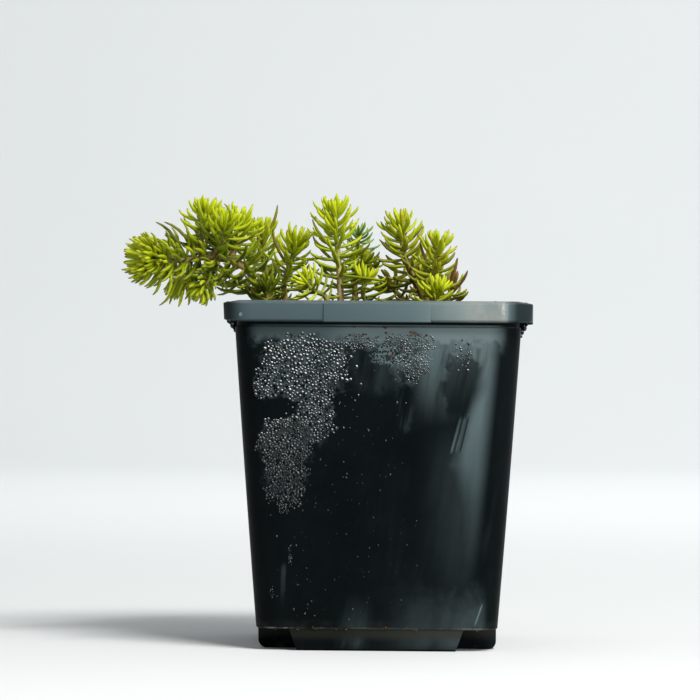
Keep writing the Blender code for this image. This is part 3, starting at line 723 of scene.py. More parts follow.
def right_marks(x, z, ragged, washes, strokes):
    """The right of the front: its grey band, partly a painted reflection of the bright side, the haze beside
    it and the part above, with strengths.
    """
    shifted = x + (washes - 0.5) * (6.0 * MM)
    low_edge = 20.6 * MM + over(z, 66, 44) * (5.0 * MM)
    left_edge = calc("MINIMUM", most(line_through(z, 36.8, 0.34), low_edge), 30.8 * MM)
    past_left = (shifted - left_edge) * (0.4 + over(z, 48, 62) * 0.6)
    inside = over(x - line_through(z, 36.6, 0.09), 0.4, -4.6)
    # The band is film, and partly a painted reflection of the bright side near the right corner.
    band = (over(past_left, -3.0, 2.4) * inside * over(z, 6, 90)
            * fade(washes, -0.1, 0.62) * fade(strokes, -0.4, 0.6))
    haze = over(shifted, 10, 24) * inside * over(z, -6, 46) * over(z, 72, 50) * fade(strokes, -0.2, 0.7)
    above = over(x, 8, 16) * inside * over(z, 63, 89) * fade(strokes, 0.1, 0.62)
    above = above * fade(soft_patch(x, z, WIPED, ragged), 1.5, 0.0)
    return calc("MULTIPLY", band, 1.04, clamp=True), haze * 0.15, above * 0.76


def upper_marks(point, ragged, blotch, washes, strokes):
    """Splashes and smears on the upper half, and the film between the beads."""
    x, _, z = point
    smears = most(stroke(x, z, *SMEARS[0]), stroke(x, z, *SMEARS[1])) * fade(strokes, 0.2, 0.6)
    splash = soft_patch(x, z, SPLASH, ragged) * fade(blotch, 0.2, 0.8)
    froth = soft_patch(x, z, FROTH, ragged) * fade(cells_of(vector_of(*point), 1700.0), 0.3, 0.75)
    washed = soft_patch(x, z, WASH_MARK, ragged) * fade(washes, 0.2, 0.7) * fade(strokes, 0.1, 0.8)
    run_off = soft_patch(x, z, RUN_OFF, ragged) * fade(strokes, 0.4, 0.7)
    wet = wet_patches(x, z, ragged) * fade(cells_of(vector_of(*point), 820.0), 0.28, 0.7)
    return smears * 0.8, splash * 0.36, froth * 0.95, washed * 0.22, run_off * 0.2, wet * 0.46


def lower_marks(point, wavy, washes, strokes):
    """The haze, runs, smudge and dried run near the foot."""
    x, _, z = point
    hairs = run_marks(point, 0.42, 18.0, 44.0)
    haze = over(x, -4, 22) * over(x, 33, 30) * over(wavy, 24, 5) * fade(washes, 0.1, 0.7)
    runs = over(abs(x + 5.6 * MM), 8, 1) * over(z, 19, 4) * fade(strokes, 0.3, 0.8)
    smudge = stroke(x, z, *SMUDGE) * over(z, 11, 24) * fade(hairs, 0.1, 0.7)
    return haze * 0.4, runs * 0.24, smudge * 0.18, stroke(x, z, *DRIED_RUN) * 1.0


def front_film(point, blotch):
    """The grey film on the front: under the rim, in a band down the right that is partly a painted
    reflection, and where it is smeared.
    """
    x, _, z = point
    uneven = blotch - 0.5
    ragged = uneven * 0.7
    washes = run_marks(point, 0.1, 2.4, 30.0, 3.0)
    strokes = run_marks(point, 0.14, 9.0, 36.0)
    wavy = z + uneven * (3.2 * MM)
    strip = over(wavy, 86.0, 92.2) * over(x, -37, 0) * 0.64
    high_strip = over(wavy, 88.6, 92.6) * over(x, -39, -34) * 0.5
    film = calc("ADD", strip, high_strip, clamp=True) * over(x, 38.6, 31.6)
    for mark in (
        *right_marks(x, z, ragged, washes, strokes),
        *upper_marks(point, ragged, blotch, washes, strokes),
        *lower_marks(point, wavy, washes, strokes),
    ):
        film = most(film, mark)
    film = film * fade(stroke(x, z, *SCRAPE), 1.5, 0.0)
    faint = fade(washes, 0.45, 0.75) * fade(strokes, 0.35, 0.75) * over(x, -32, -10) * 0.06
    return most(film, faint)


def side_film(point):
    """The thin film on the other three walls: faint runs under the rim and splashes near the foot."""
    z = point[2]
    dried = fade(run_marks(point, 0.0, 5.0, 26.0, 3.0), 0.42, 0.72) * over(z, 30, 90) * 0.2
    clouded = fade(run_marks(point, 0.0, 1.4, 22.0, 3.0), 0.42, 0.75) * 0.14
    spots = noise_of(vector_of(*point), 190.0, 4.0, 0.7)
    splashed = fade(spots, 0.46, 0.72) * over(z, 26, 4) * 0.22
    return most(most(dried, clouded), splashed)


def rim_painted_light_and_dust(point, blotch, fine, front):
    """The rim's grey, a painted reflection: painted light and dust on the right, painted shade at both ends,
    two painted glints.
    """
    x, y, z = point
    ragged = (blotch - 0.5) * 2.0
    near = over(y, -31, -38)
    patchy = fade(run_marks(point, 0.0, 1.0, 46.0), 0.3, 0.7)
    # Painted light: the rim's front is painted lighter on the right, where the light comes from.
    painted_rim_light = over(x, 8, 30) * over(x, 38.6, 36.8) * fade(patchy, -0.6, 0.9)
    dusted = over(x, 23, 29) * over(x, 38.2, 36.8) * fade(blotch, -0.4, 1.0)
    # Painted shade: the rim's rounded ends are painted near black, where they turn from the light.
    ends = most(over(x, 37.0, 41.0), over(x, -38.6, -43.4))
    # Painted glints: small pale spots where light catches the rim's ends.
    painted_rim_glints = most(*(soft_patch(x, z, glint, ragged) for glint in RIM_GLINTS)) * fade(fine, 0.36, 0.6)
    return painted(
        # Painted reflection: a grey for the bright room that the rim reflects, darker on the left and
        # lighter on the right.
        blend(over(x, -34, 36), (0.066, 0.096, 0.106), (0.10, 0.142, 0.15)),
        (painted_rim_light * near * 0.85, (0.25, 0.295, 0.29)),
        (dusted * near * 0.75, (0.30, 0.305, 0.28)),
        (fine * patchy * 0.25, (0.06, 0.085, 0.092)),
        (ends * near * 0.94, (0.010, 0.015, 0.017)),
        (painted_rim_glints * front * 0.8, (0.46, 0.48, 0.46)),
    )


# Materials


def pot_material(mottle, dust):
    """Black plastic: a rim painted grey for its reflection, a grey film on the front with painted light on
    it, a dull foot band, settled dust, fine marks, and painted shade and glints.
    """
    made = new_material("black_plastic", Metallic=0.0, Specular_IOR_Level=0.045)
    point = x, y, z = parted(object_point())
    broad, grain = grouped(mottle, Scale=60.0, Grain=2600.0)
    blotch, fine = grouped(mottle, Scale=260.0, Grain=900.0)
    (settled,) = grouped(dust, Amount=0.5, Scale=260.0)

    lean = (BODY_HALF_TOP - BODY_HALF_FOOT) / (SHOULDER_Z - STEP_Z)
    wall_y = z * lean + (BODY_HALF_FOOT - STEP_Z * lean)
    front = over(y * -1.0 - wall_y, -1.6, -0.3)
    below_rim = over(z, 95.2, 94.6)
    rim = over(z, 95.6, 96.1)
    film = front_film(point, blotch) * front * below_rim
    other_walls = over(y, -33, -24) * below_rim * side_film(point)
    streaks = run_marks(point, 0.16, 9.0, 40.0)

    # Painted light on the film: lighter towards the right, where the light comes from, and along the strip
    # under the rim's middle, which the rim shades.
    painted_light_right = over(x, 14, 30) * over(z, 72, 90) * 0.35
    painted_light_strip = over(x, -16, -6) * over(z, 88, 92.6) * 0.6
    over_step = over(z, 6.3, 6.9) * over(z, 9.6, 7.6)
    # The band's grey stops 2.4 mm up, so the foot's rounding stays near black: painted shade where it curves
    # under.
    foot = over(z, 2.4, 5.0) * over(z, 6.8, 6.4)
    foot_colour = blend(over(x, -14, 24), (0.0125, 0.0135, 0.0100), (0.032, 0.033, 0.028))
    # The pale line along the step: wear, with a painted highlight where light catches the notches' top
    # edges.
    at_notch = over(abs(x), 23.6, 24.4)
    wear_and_glint = ((0.3 + at_notch * 0.7) * over(z, 6.3, 6.5) * over(z, 6.95, 6.75)
            * fade(streaks, 0.35, 0.6) * front)
    colour = painted(
        blend(broad, (0.0008, 0.0024, 0.0030), (0.0020, 0.0040, 0.0046)),
        (most(film, other_walls), (0.10, 0.14, 0.15)),
        (film * most(painted_light_right, painted_light_strip), (0.20, 0.25, 0.26)),
        (over_step * blotch * 0.25, (0.03, 0.032, 0.024)),
        (foot * 0.9, foot_colour),
        (wear_and_glint * 0.7, (0.16, 0.18, 0.18)),
        (rim, rim_painted_light_and_dust(point, blotch, fine, front)),
        (settled, (0.16, 0.17, 0.165)),
    )
    rough = 0.36 + streaks * 0.14 + most(film, rim) * 0.12
    relief = bump(streaks, 0.03 * MM, 0.6, Normal=bump(grain, 0.03 * MM, 0.5))
    return feed(made, Base_Color=colour, Roughness=rough, Normal=relief)


def leaf_material(mottle):
    """Fleshy needles: chartreuse, greener and bronze-tipped with age, or blue-green on some stems."""
    made = new_material(
        "leaf_flesh", Metallic=0.0, Specular_IOR_Level=0.22, Subsurface_Weight=0.1, Subsurface_Scale=0.001,
        Subsurface_Radius=(1.0, 1.1, 0.2),
    )
    along, age, tone = attribute("growth")
    bronze, blue, _ = attribute("cast")
    blotch, fine = grouped(mottle, Scale=380.0, Grain=5200.0)
    young = blend(tone, (0.43, 0.52, 0.005), (0.62, 0.68, 0.014))
    old = blend(tone, (0.055, 0.085, 0.003), (0.23, 0.29, 0.006))
    tan = blend(tone, (0.13, 0.05, 0.02), (0.26, 0.14, 0.03))
    colour = painted(
        blend(fade(age, 0.15, 0.95), young, old),
        (fade(along, 0.35, 0.0), (0.34, 0.40, 0.05)),
        (blue * 0.75, (0.10, 0.25, 0.07)),
        (bronze * fade(age + tone, 0.3, 0.9), tan),
        (fade(along, 0.8, 1.0) * fade(age + tone, 0.35, 1.1) * 0.9, (0.12, 0.045, 0.016)),
        (blotch * 0.16, (0.10, 0.14, 0.01)),
    )
    relief = bump(blotch, 0.05 * MM, 0.4, Normal=bump(fine, 0.04 * MM, 0.5))
    return feed(made, Base_Color=colour, Roughness=0.36 + fine * 0.2, Normal=relief)


def stem_material(mottle):
    """Stems: tan and brown where they are old, greener towards the tip, with ring scars."""
    made = new_material("stem_skin", Metallic=0.0, Specular_IOR_Level=0.35)
    along, pale = attribute("growth")[0], attribute("cast")[0]
    blotch, fine = grouped(mottle, Scale=520.0, Grain=3800.0)
    bark = blend(blotch, (0.14, 0.08, 0.025), (0.32, 0.21, 0.07))
    tan = blend(blotch, (0.46, 0.31, 0.14), (0.76, 0.58, 0.29))
    green = blend(blotch, (0.20, 0.21, 0.025), (0.32, 0.34, 0.05))
    colour = painted(bark, (pale, tan), (fade(along, 0.25, 0.8), green))
    relief = bump(fine, 0.08 * MM, 0.7)
    return feed(made, Base_Color=colour, Roughness=0.5 + fine * 0.25, Normal=relief)


def mix_material(name, dark, light, mottle, roughness=0.85):
    """Potting mix or one kind of crumb in it, from its darkest to its lightest colour."""
    made = new_material(name, Metallic=0.0, Specular_IOR_Level=0.25)
    blotch, fine = grouped(mottle, Scale=700.0, Grain=3000.0)
    shade = field("ShaderNodeAttribute", {}, "Fac", attribute_name="growth")
    colour = blend((blotch + shade) * 0.5, dark, light)
    colour = blend(fade(fine, 0.5, 0.75) * 0.3, colour, light)
    rough = roughness - 0.1 + fine * 0.2
    return feed(made, Base_Color=colour, Roughness=rough, Normal=bump(fine, 0.2 * MM, 0.8))


def water_material():
    """Beads of water: clear, with a painted highlight where they face the light and a painted grey sheen
    round the foot, dimmer lower down.
    """
    made = new_material("water", Metallic=0.0, IOR=1.33, Transmission_Weight=0.3, Specular_IOR_Level=0.9)
    towards = field(
        "ShaderNodeVectorMath", {0: facing(), 1: (0.22, -0.72, 0.66)}, "Value", operation="DOT_PRODUCT"
    )
    cloud = noise_of(object_point(), 420.0, 2.0)
    broad = noise_of(object_point(), 110.0, 1.0)
    painted_light_by_height = 0.25 + over(parted(object_point())[2], 54, 80) * 0.75
    # Painted highlight: milky white where a bead faces the key light. Painted sheen: grey round its foot.
    painted_bead_highlight = fade(towards, 0.76, 0.93) * fade(cloud, 0.32, 0.62) * fade(broad, 0.1, 0.5) * painted_light_by_height
    painted_rim_sheen = fade(parted(facing())[1], -0.62, -0.2) * fade(cloud, 0.3, 0.6)
    colour = blend(painted_rim_sheen * painted_light_by_height * 0.9, (0.006, 0.009, 0.010), (0.10, 0.13, 0.13))
    colour = blend(painted_bead_highlight, colour, (0.90, 0.95, 0.95))
    return feed(made, Base_Color=colour, Roughness=0.05 + cloud * 0.1)


# The pot


def cube(name):
    bpy.ops.mesh.primitive_cube_add(size=1)
    return named(name)


def reshape(mesh, old, new):
    """Moves the selected ring from one rounded square to another: half width, corner radius, height."""
    straight, target = old[0] - old[1], new[0] - new[1]
    for vert in mesh.verts:
        if not vert.select:
            continue
        for axis in (0, 1):
            sign = math.copysign(1, vert.co[axis])
            reach = abs(vert.co[axis])
            if reach > straight:
                vert.co[axis] = sign * (target + (reach - straight) * new[1] / old[1])
            else:
                vert.co[axis] = sign * reach * target / straight
        vert.co.z = new[2]


def ringed(name, profile):
    """A closed solid, extruded from a rounded square through the profile's level rings."""
    half, corner, height = profile[0]
    bpy.ops.mesh.primitive_plane_add(size=2 * half, location=(0, 0, height))
    solid = settle(named(name))
    start_edit()
    bpy.ops.mesh.bevel(offset=corner, segments=CORNER_STEPS, affect="VERTICES")
    bpy.ops.mesh.select_all(action="SELECT")
    for old, new in zip(profile, profile[1:]):
        extrude(0)
        reshape(bmesh.from_edit_mesh(solid.data), old, new)
        bmesh.update_edit_mesh(solid.data)
    end_edit()
    return solid


def rounding(inset, centre_z, radius, start, end, corner, steps=ROUND_STEPS):
    """Rings of a rounded edge about a centre that lies inset, from one angle to another in degrees."""
    rings = []
    for step in range(steps + 1):
        angle = math.radians(start + (end - start) * step / steps)
        out = radius * math.cos(angle)
        rings.append((inset + out, corner + out, centre_z + radius * math.sin(angle)))
    return rings


def wall_rings():
    """The wall, from over the step line up to the shoulder."""
    low = STEP_Z + SOFT_EDGE / 2
    rings = []
    for step in range(WALL_STEPS + 1):
        share = step / WALL_STEPS
        half = BODY_HALF_FOOT + (BODY_HALF_TOP - BODY_HALF_FOOT) * share + bulge_at(share)
        corner = BODY_CORNER_FOOT + (BODY_CORNER_TOP - BODY_CORNER_FOOT) * share + bulge_at(share)
        rings.append((half, corner, low + (SHOULDER_Z - SOFT_EDGE - low) * share))
    return rings


def skirt_rings():
    """The skirt's rounded lower edge, from inside to outside."""
    lip = SKIRT_WALL / 2
    middle = RIM_HALF - SKIRT_WALL + lip - SKIRT_DRAFT
    rings = []
    for step in range(ROUND_STEPS * 2 + 1):
        angle = math.pi * step / (ROUND_STEPS * 2)
        out = -math.cos(angle) * lip
        height = SKIRT_BOTTOM + lip * (1 - math.sin(angle)) * 0.6
        rings.append((middle + out, RIM_CORNER - lip + out, height))
    return rings


def pot_profile():
    """Foot, band, wall, shoulder, channel, skirt, lip, and then down the inside to the floor."""
    foot_half, foot_corner = BODY_HALF_FOOT - BAND_INSET, BODY_CORNER_FOOT - BAND_INSET
    lip_edge = POT_HEIGHT - LIP_DROP
    roof = lip_edge - SKIRT_WALL
    neck = (BODY_HALF_TOP - SHOULDER_INSET, BODY_CORNER_TOP - SHOULDER_INSET)
    soft = SOFT_EDGE
    crest, crest_corner = RIM_HALF - LIP_RUN, RIM_CORNER - LIP_RUN / 2
    inner_corner = INNER_CORNER + soft
    return [
        *rounding(foot_half - FOOT_ROUND, FOOT_ROUND, FOOT_ROUND, -90, 0, foot_corner - FOOT_ROUND, 6),
        (foot_half, foot_corner, STEP_Z - soft / 2),
        (foot_half + BAND_INSET / 2, foot_corner + BAND_INSET / 2, STEP_Z),
        *wall_rings(),
        *rounding(neck[0], SHOULDER_Z - soft / 2, SHOULDER_INSET, 20, 90, neck[1])[:-1],
        (*neck, SHOULDER_Z + soft),
        (*neck, roof),
        (RIM_HALF - SKIRT_WALL, RIM_CORNER - SKIRT_WALL, roof),
        *skirt_rings(),
        *rounding(RIM_HALF - soft, lip_edge - soft, soft, 0, 80, RIM_CORNER - soft),
        *rounding(crest - soft / 2, POT_HEIGHT - soft, soft, 80, 90, crest_corner - soft / 2, 1),
        *rounding(INNER_HALF_TOP + soft, POT_HEIGHT - soft, -soft, -90, 0, inner_corner + soft),
        (INNER_HALF_TOP, inner_corner, SHOULDER_Z),
        (INNER_HALF_FOOT, INNER_CORNER, FLOOR + FLOOR_ROUND),
        (INNER_HALF_FOOT - FLOOR_ROUND, INNER_CORNER - FLOOR_ROUND, FLOOR),
    ]


def tapered_block(name, start_foot, start_top, foot, top):
    """A block over one corner of the base that spreads towards the floor."""
    block = cube(name)
    for vert in block.data.vertices:
        high = vert.co.z > 0
        start = start_top if high else start_foot
        x, y = (RIM_HALF if side > 0 else start for side in vert.co[:2])
        vert.co = (x, y, top if high else foot)
    return block


def all_round(part):
    """The part and three copies, each a quarter turn on, as one object."""
    parts = [part]
    for quarter in range(1, 4):
        mesh = part.data.copy()
        mesh.transform(turned(quarter * QUARTER, "Z"))
        parts.append(linked(f"{part.name} {quarter}", mesh))
    return joined(parts, part.name)


def corner_pads():
    """Raised pads inside the corners, which the notches and drain holes are cut into."""
    start_foot, start_top = NOTCH_START_FOOT - PAD_WALL, NOTCH_START_TOP - PAD_WALL
    pads = all_round(tapered_block("pads", start_foot, start_top, FLOOR / 2, NOTCH_HEIGHT + PAD_WALL))
    top = NOTCH_HEIGHT + 2 * PAD_WALL
    grow = (top - FLOOR) / (SHOULDER_Z - FLOOR) * (INNER_HALF_TOP - INNER_HALF_FOOT)
    core = ringed(
        "core",
        [
            (INNER_HALF_FOOT - PAD_BITE, INNER_CORNER, FLOOR / 3),
            (INNER_HALF_FOOT + PAD_BITE, INNER_CORNER, FLOOR + FLOOR_ROUND),
            (INNER_HALF_FOOT + grow + PAD_BITE, INNER_CORNER, top),
        ],
    )
    boolean(pads, core, "INTERSECT")
    return pads


def label_tabs():
    """The wider, slightly lower stretch in the middle of each side of the rim skirt."""
    tab = cube("tabs")
    low = Vector((-TAB_WIDTH / 2, -RIM_HALF - TAB_PROUD, SKIRT_BOTTOM - TAB_DROP))
    high = Vector((TAB_WIDTH / 2, -RIM_HALF + SUNK, TAB_TOP))
    tab.data.transform(Matrix.LocRotScale((low + high) / 2, None, high - low))
    start_edit()
    bpy.ops.mesh.bevel(offset=TAB_PROUD * 0.7, segments=3, affect="EDGES")
    end_edit(outward=False)
    return all_round(tab)


def rim_webs():
    """Thin webs in the rim channel, two a side, which run down from the skirt to the wall."""
    skirt = RIM_HALF - SUNK / 2
    wall = BODY_HALF_TOP - SUNK
    roof = POT_HEIGHT - LIP_DROP - SUNK
    webs = []
    for side in (-1, 1):
        for offset in (-WEB_OFFSET, WEB_OFFSET):
            web = cube("web")
            for vert in web.data.vertices:
                outer, high = vert.co.x > 0, vert.co.z > 0
                x = skirt if outer else wall
                z = roof if high else (SKIRT_BOTTOM if outer else WEB_FOOT_Z)
                vert.co = (side * x, offset + math.copysign(WEB_THICK / 2, vert.co.y), z)
            start_edit()
            end_edit()
            webs.append(web)
    return joined(webs, "webs")


def drain_holes():
    middle = (NOTCH_HEIGHT - BEYOND + NOTCH_HEIGHT + PAD_WALL + BEYOND) / 2
    bpy.ops.mesh.primitive_cylinder_add(
        vertices=32, radius=DRAIN_RADIUS, depth=PAD_WALL + 2 * BEYOND,
        location=(DRAIN_CENTRE, DRAIN_CENTRE, middle),
    )
    return all_round(settle(named("drains")))


def make_pot(look):
    pot = ringed("nursery_pot", pot_profile())
    boolean(pot, corner_pads(), "UNION")
    boolean(pot, label_tabs(), "UNION")
    boolean(pot, rim_webs(), "UNION")
    notches = tapered_block("notches", NOTCH_START_FOOT, NOTCH_START_TOP, -BEYOND, NOTCH_HEIGHT)
    boolean(pot, all_round(notches), "DIFFERENCE")
    boolean(pot, drain_holes(), "DIFFERENCE")
    activate(pot)
    bpy.ops.object.shade_smooth_by_angle(angle=SMOOTH_BELOW)
    return placed(coated(pot, look), "pot_plastic", "pot")


# The potting mix


def soil_height(x, y):
    """The mix's surface: lumps of a few millimetres on a low mound."""
    mound = SOIL_MOUND * math.exp(-(x * x + y * y) / SOIL_MOUND_SPREAD**2)
    lumps = noise.noise(Vector((x, y, 0.0)) / SOIL_LUMP)
    grains = noise.noise(Vector((x, y, 0.0)) / (SOIL_LUMP * 0.4))
    return SOIL_TOP + mound + SOIL_RELIEF * (lumps + 0.5 * grains)


def crumbly_height(x, y):
    point = Vector((x, y, 0.0))
    crumbs, fine = (noise.noise(point / (size * MM)) * height * MM for size, height in CRUMBLE)
    return soil_height(x, y) + crumbs + fine


def into_outline(x, y, half, corner):
    """A point of the square grid, drawn in to the rounded square."""
    straight = half - corner
    dx, dy = abs(x) - straight, abs(y) - straight
    if dx > 0 and dy > 0:
        reach = max(dx, dy)
        flat = math.hypot(dx, dy)
        dx, dy = dx * reach / flat, dy * reach / flat
        return math.copysign(straight + dx, x), math.copysign(straight + dy, y)
    return x, y


def make_soil(look):
    """The mix: a finely crumbled surface, with a side that goes down inside the pot's wall."""
    bpy.ops.mesh.primitive_grid_add(x_subdivisions=SOIL_CELLS, y_subdivisions=SOIL_CELLS, size=2 * SOIL_HALF)
    soil = named("potting_mix")
    for vert in soil.data.vertices:
        x, y = into_outline(vert.co.x, vert.co.y, SOIL_HALF, SOIL_CORNER)
        edge = max(abs(x), abs(y)) / SOIL_HALF
        drop = SOIL_EDGE_DROP * max(0.0, (edge - SOIL_EDGE_FROM) / SOIL_EDGE_RUN)
        vert.co = (x, y, crumbly_height(x, y) - drop)
    start_edit()
    bpy.ops.mesh.region_to_loop()
    extrude(-SOIL_DEPTH, (0.985, 0.985, 0.02))
    bpy.ops.mesh.edge_face_add()
    end_edit()
    soil.data.shade_smooth()
    return placed(coated(soil, look), "potting_mix", "soil")


def crumb_models(kind, count, size, seed, shake):
    """Irregular crumbs of one kind, each from a small icosphere with its points shaken."""
    models = []
    for number in range(count):
        bpy.ops.mesh.primitive_ico_sphere_add(subdivisions=1, radius=1.0)
        models.append(named(f"{kind} {number}"))
        start_edit()
        bpy.ops.transform.vertex_random(offset=shake, uniform=0.5, normal=0.4, seed=seed + number)
        bpy.ops.transform.resize(value=size)
        end_edit(outward=False)
    return models


def write(mesh, name, values):
    """Gives the mesh a colour attribute: one value for all its points, or a row for each."""
    layer = mesh.attributes.new(name, "FLOAT_COLOR", "POINT")
    layer.data.foreach_set("color", np.broadcast_to(values, (len(mesh.vertices), 4)).ravel())


def scatter(name, models, sites, seed, look):
    """Copies of the models at (place, size), each turned its own way, as one piece."""
    draw = random.Random(seed)
    copies = []
    for place, size in sites:
        mesh = draw.choice(models).data.copy()
        turn = turned(draw.uniform(0, 2 * math.pi), "Z") @ turned(shake(draw, CRUMB_TIP), "X")
        mesh.transform(Matrix.Translation(place) @ turn @ Matrix.Scale(size, 4))
        shade = draw.random()
        write(mesh, "growth", (shade, shade, shade, 1.0))
        copies.append(linked(name, mesh))
    return placed(coated(joined(copies, name), look), "potting_mix")


def mix_sites(count, small, large, seed, sink):
    """Places for crumbs all over the mix, resting in its surface."""
    draw = random.Random(seed)
    sites = []
    for _ in range(count):
        x, y = (shake(draw, 1) * (SOIL_HALF - CRUMB_INSET) for _ in range(2))
        size = (small + (large - small) * draw.random() ** 2) * MM
        sites.append((Vector((x, y, crumbly_height(x, y) + size * sink)), size))
    return sites


def make_crumbs(mottle):
    """Bark chips, fine crumbs and pale grit on the mix, and crumbs stuck to the rim and the front."""
    chips = crumb_models("chip", 3, (1.5, 0.8, 0.38), 0, 0.5)
    lumps = crumb_models("lump", 3, (1.0, 0.85, 0.7), 7, 0.45)
    grit = crumb_models("grit", 2, (1.0, 0.9, 0.8), 11, 0.3)
    bark = mix_material("bark", (0.035, 0.018, 0.009), (0.17, 0.085, 0.035), mottle)
    peat = mix_material("peat", (0.012, 0.008, 0.005), (0.07, 0.042, 0.022), mottle, 0.9)
    pale = mix_material("grit", (0.42, 0.40, 0.35), (0.72, 0.70, 0.64), mottle, 0.8)
    scatter("bark_chips", chips, mix_sites(260, 0.9, 2.0, 1, 0.15), 21, bark)
    scatter("fine_crumbs", lumps, mix_sites(620, 0.45, 1.1, 2, 0.2), 22, peat)
    scatter("pale_grit", grit, mix_sites(60, 0.5, 1.1, 3, 0.3), 23, pale)
    scatter("crumbs_on_the_pot", lumps + chips, stuck_sites(), 24, bark)
    for model in chips + lumps + grit:
        remove(model)


def stuck_sites():
    """Crumbs stuck on the front under the rim, on the step line and on the lip."""
    draw = random.Random(31)
    sites = [(on_front(x * MM, z * MM), size * MM) for x, z, size in STUCK_CRUMBS]
    for _ in range(STEP_CRUMBS):
        x = shake(draw, 30) * MM
        height = STEP_Z + draw.uniform(-0.3, 0.6) * MM
        sites.append((on_front(x, height), draw.uniform(0.15, 0.3) * MM))
    for _ in range(LIP_CRUMBS):
        along, in_from_edge = draw.uniform(-34, 38) * MM, draw.uniform(1.0, 3.6) * MM
        height = POT_HEIGHT - LIP_DROP * (1 - in_from_edge / LIP_RUN)
        place = Vector((along, -RIM_HALF + in_from_edge, height))
        place.rotate(Matrix.Rotation(draw.choice((0, 0, 1, 2, 3)) * QUARTER, 3, "Z"))
        sites.append((place, draw.uniform(0.2, 0.4) * MM))
    return sites


# Stems: the same routes, frames and spiral rule as the frame's solids


def smooth_path(route, step):
    """Points on a Catmull-Rom curve through the route's points, about a step apart."""
    padded = [2 * route[0] - route[1], *route, 2 * route[-1] - route[-2]]
    points = []
    for i in range(1, len(padded) - 2):
        before, start, end, after = padded[i - 1 : i + 3]
        squared = 2 * before - 5 * start + 4 * end - after
        cubed = 3 * start - before - 3 * end + after
        count = max(1, round((end - start).length / step))
        for k in range(count):
            t = k / count
            points.append(0.5 * (2 * start + (end - before) * t + squared * t**2 + cubed * t**3))
    points.append(route[-1])
    return points


def shoot_path(shoot, standing, step):
    """A shoot's centreline. A standing one first runs straight up out of the mix."""
    route = [Vector(point) * MM for point in shoot["route"]]
    if not standing:
        return smooth_path(route, step)
    surface = soil_height(route[0].x, route[0].y)
    collar = Vector((route[0].x, route[0].y, surface + COLLAR))
    foot = Vector((collar.x, collar.y, surface - ROOT_DEPTH))
    return [foot, *smooth_path([collar, *route[1:]], step)]


def frames_along(path):
    """(tangent, side, other side) at each point, turned as little as possible from one to the next."""
    padded = [path[0], *path, path[-1]]
    tangents = [(after - before).normalized() for before, after in zip(padded, padded[2:])]
    side = Vector((1, 0, 0)) if abs(tangents[0].x) < 0.9 else Vector((0, 1, 0))
    side = (side - tangents[0] * side.dot(tangents[0])).normalized()
    frames = []
    for i, tangent in enumerate(tangents):
        if i:
            side = tangents[i - 1].rotation_difference(tangent) @ side
        side = (side - tangent * side.dot(tangent)).normalized()
        frames.append((tangent, side, tangent.cross(side)))
    return frames


def leaf_line(path, frames, share, turn, spread, length):
    """A leaf's root, middle and tip, and the stem's direction and the outward one at its root."""
    place = share * (len(path) - 1)
    index = min(int(place), len(path) - 2)
    root = path[index].lerp(path[index + 1], place - index)
    tangent, side, other = frames[index]
    outward = side * math.cos(turn) + other * math.sin(turn)
    low, high = spread + LEAF_CURL, spread - LEAF_CURL
    first = tangent * math.cos(low) + outward * math.sin(low)
    second = tangent * math.cos(high) + outward * math.sin(high)
    middle = root + first * length * LEAF_WIDEST
    return (root, middle, middle + second * length * (1 - LEAF_WIDEST)), (tangent, outward)


def nearest_on(path, point):
    """The index of the path's stretch that is nearest to a point, and the nearest place on it."""
    found = []
    for index, (start, end) in enumerate(zip(path, path[1:])):
        along = end - start
        share = max(0.0, min(1.0, (point - start).dot(along) / along.length_squared))
        place = start + along * share
        found.append(((point - place).length, index, place))
    _, index, place = min(found, key=lambda item: item[0])
    return index, place


def long_leaf(shoot, near, tip, bronze, bow=None):
    """A leaf from the stem near one point to its tip at another.

    Its middle is moved by the bow, or else away from the shoot's end.
    """
    index, root = nearest_on(shoot["path"], Vector(near) * MM)
    chord = Vector(tip) * MM - root
    tangent = shoot["frames"][index][0]
    lean = tangent - chord * (tangent.dot(chord) / chord.length_squared)
    moved = Vector(bow) * MM if bow else lean * -chord.length * LONG_LEAF_BOW
    line = (root, root + chord * LEAF_WIDEST + moved, root + chord)
    outward = (chord - tangent * chord.dot(tangent)).normalized()
    return dict(line=line, directions=(tangent, outward), climb=LONG_LEAF_CLIMB, bronze=bronze)


def samples_of(line):
    """Points along a leaf, from just outside the stem to its tip."""
    root, middle, tip = (np.array(point) for point in line)
    share = LEAF_SAMPLES[:, None]
    near = root + (middle - root) * share / LEAF_WIDEST
    far = middle + (tip - middle) * (share - LEAF_WIDEST) / (1 - LEAF_WIDEST)
    return np.where(share < LEAF_WIDEST, near, far)


def stretches(lines, radius):
    """A row of start, end and radius for every straight stretch of the lines."""
    return np.array([(*start, *end, radius) for line in lines for start, end in zip(line, line[1:])])


def gap_to(points, others):
    """The least distance from any of the points to the other stretches, less their radii."""
    starts, ends, radii = others[:, :3], others[:, 3:6], others[:, 6]
    along = ends - starts
    offset = points[:, None, :] - starts[None, :, :]
    share = np.clip((offset * along).sum(2) / np.maximum((along * along).sum(1), 1e-12), 0, 1)
    distance = np.linalg.norm(offset - along * share[:, :, None], axis=2)
    return (distance - radii).min()


def clear_of_pot(points):
    """Whether leaf points keep off the mix, the pot's wall and its rim."""
    for x, y, z in points:
        reach = max(abs(x), abs(y))
        if z < POT_HEIGHT + PROBE_CLEAR and INNER_HALF_TOP - PROBE_CLEAR < reach < RIM_HALF + PROBE_CLEAR:
            return False
        if reach < RIM_HALF and z < soil_height(x, y) + PROBE_CLEAR:
            return False
    return True


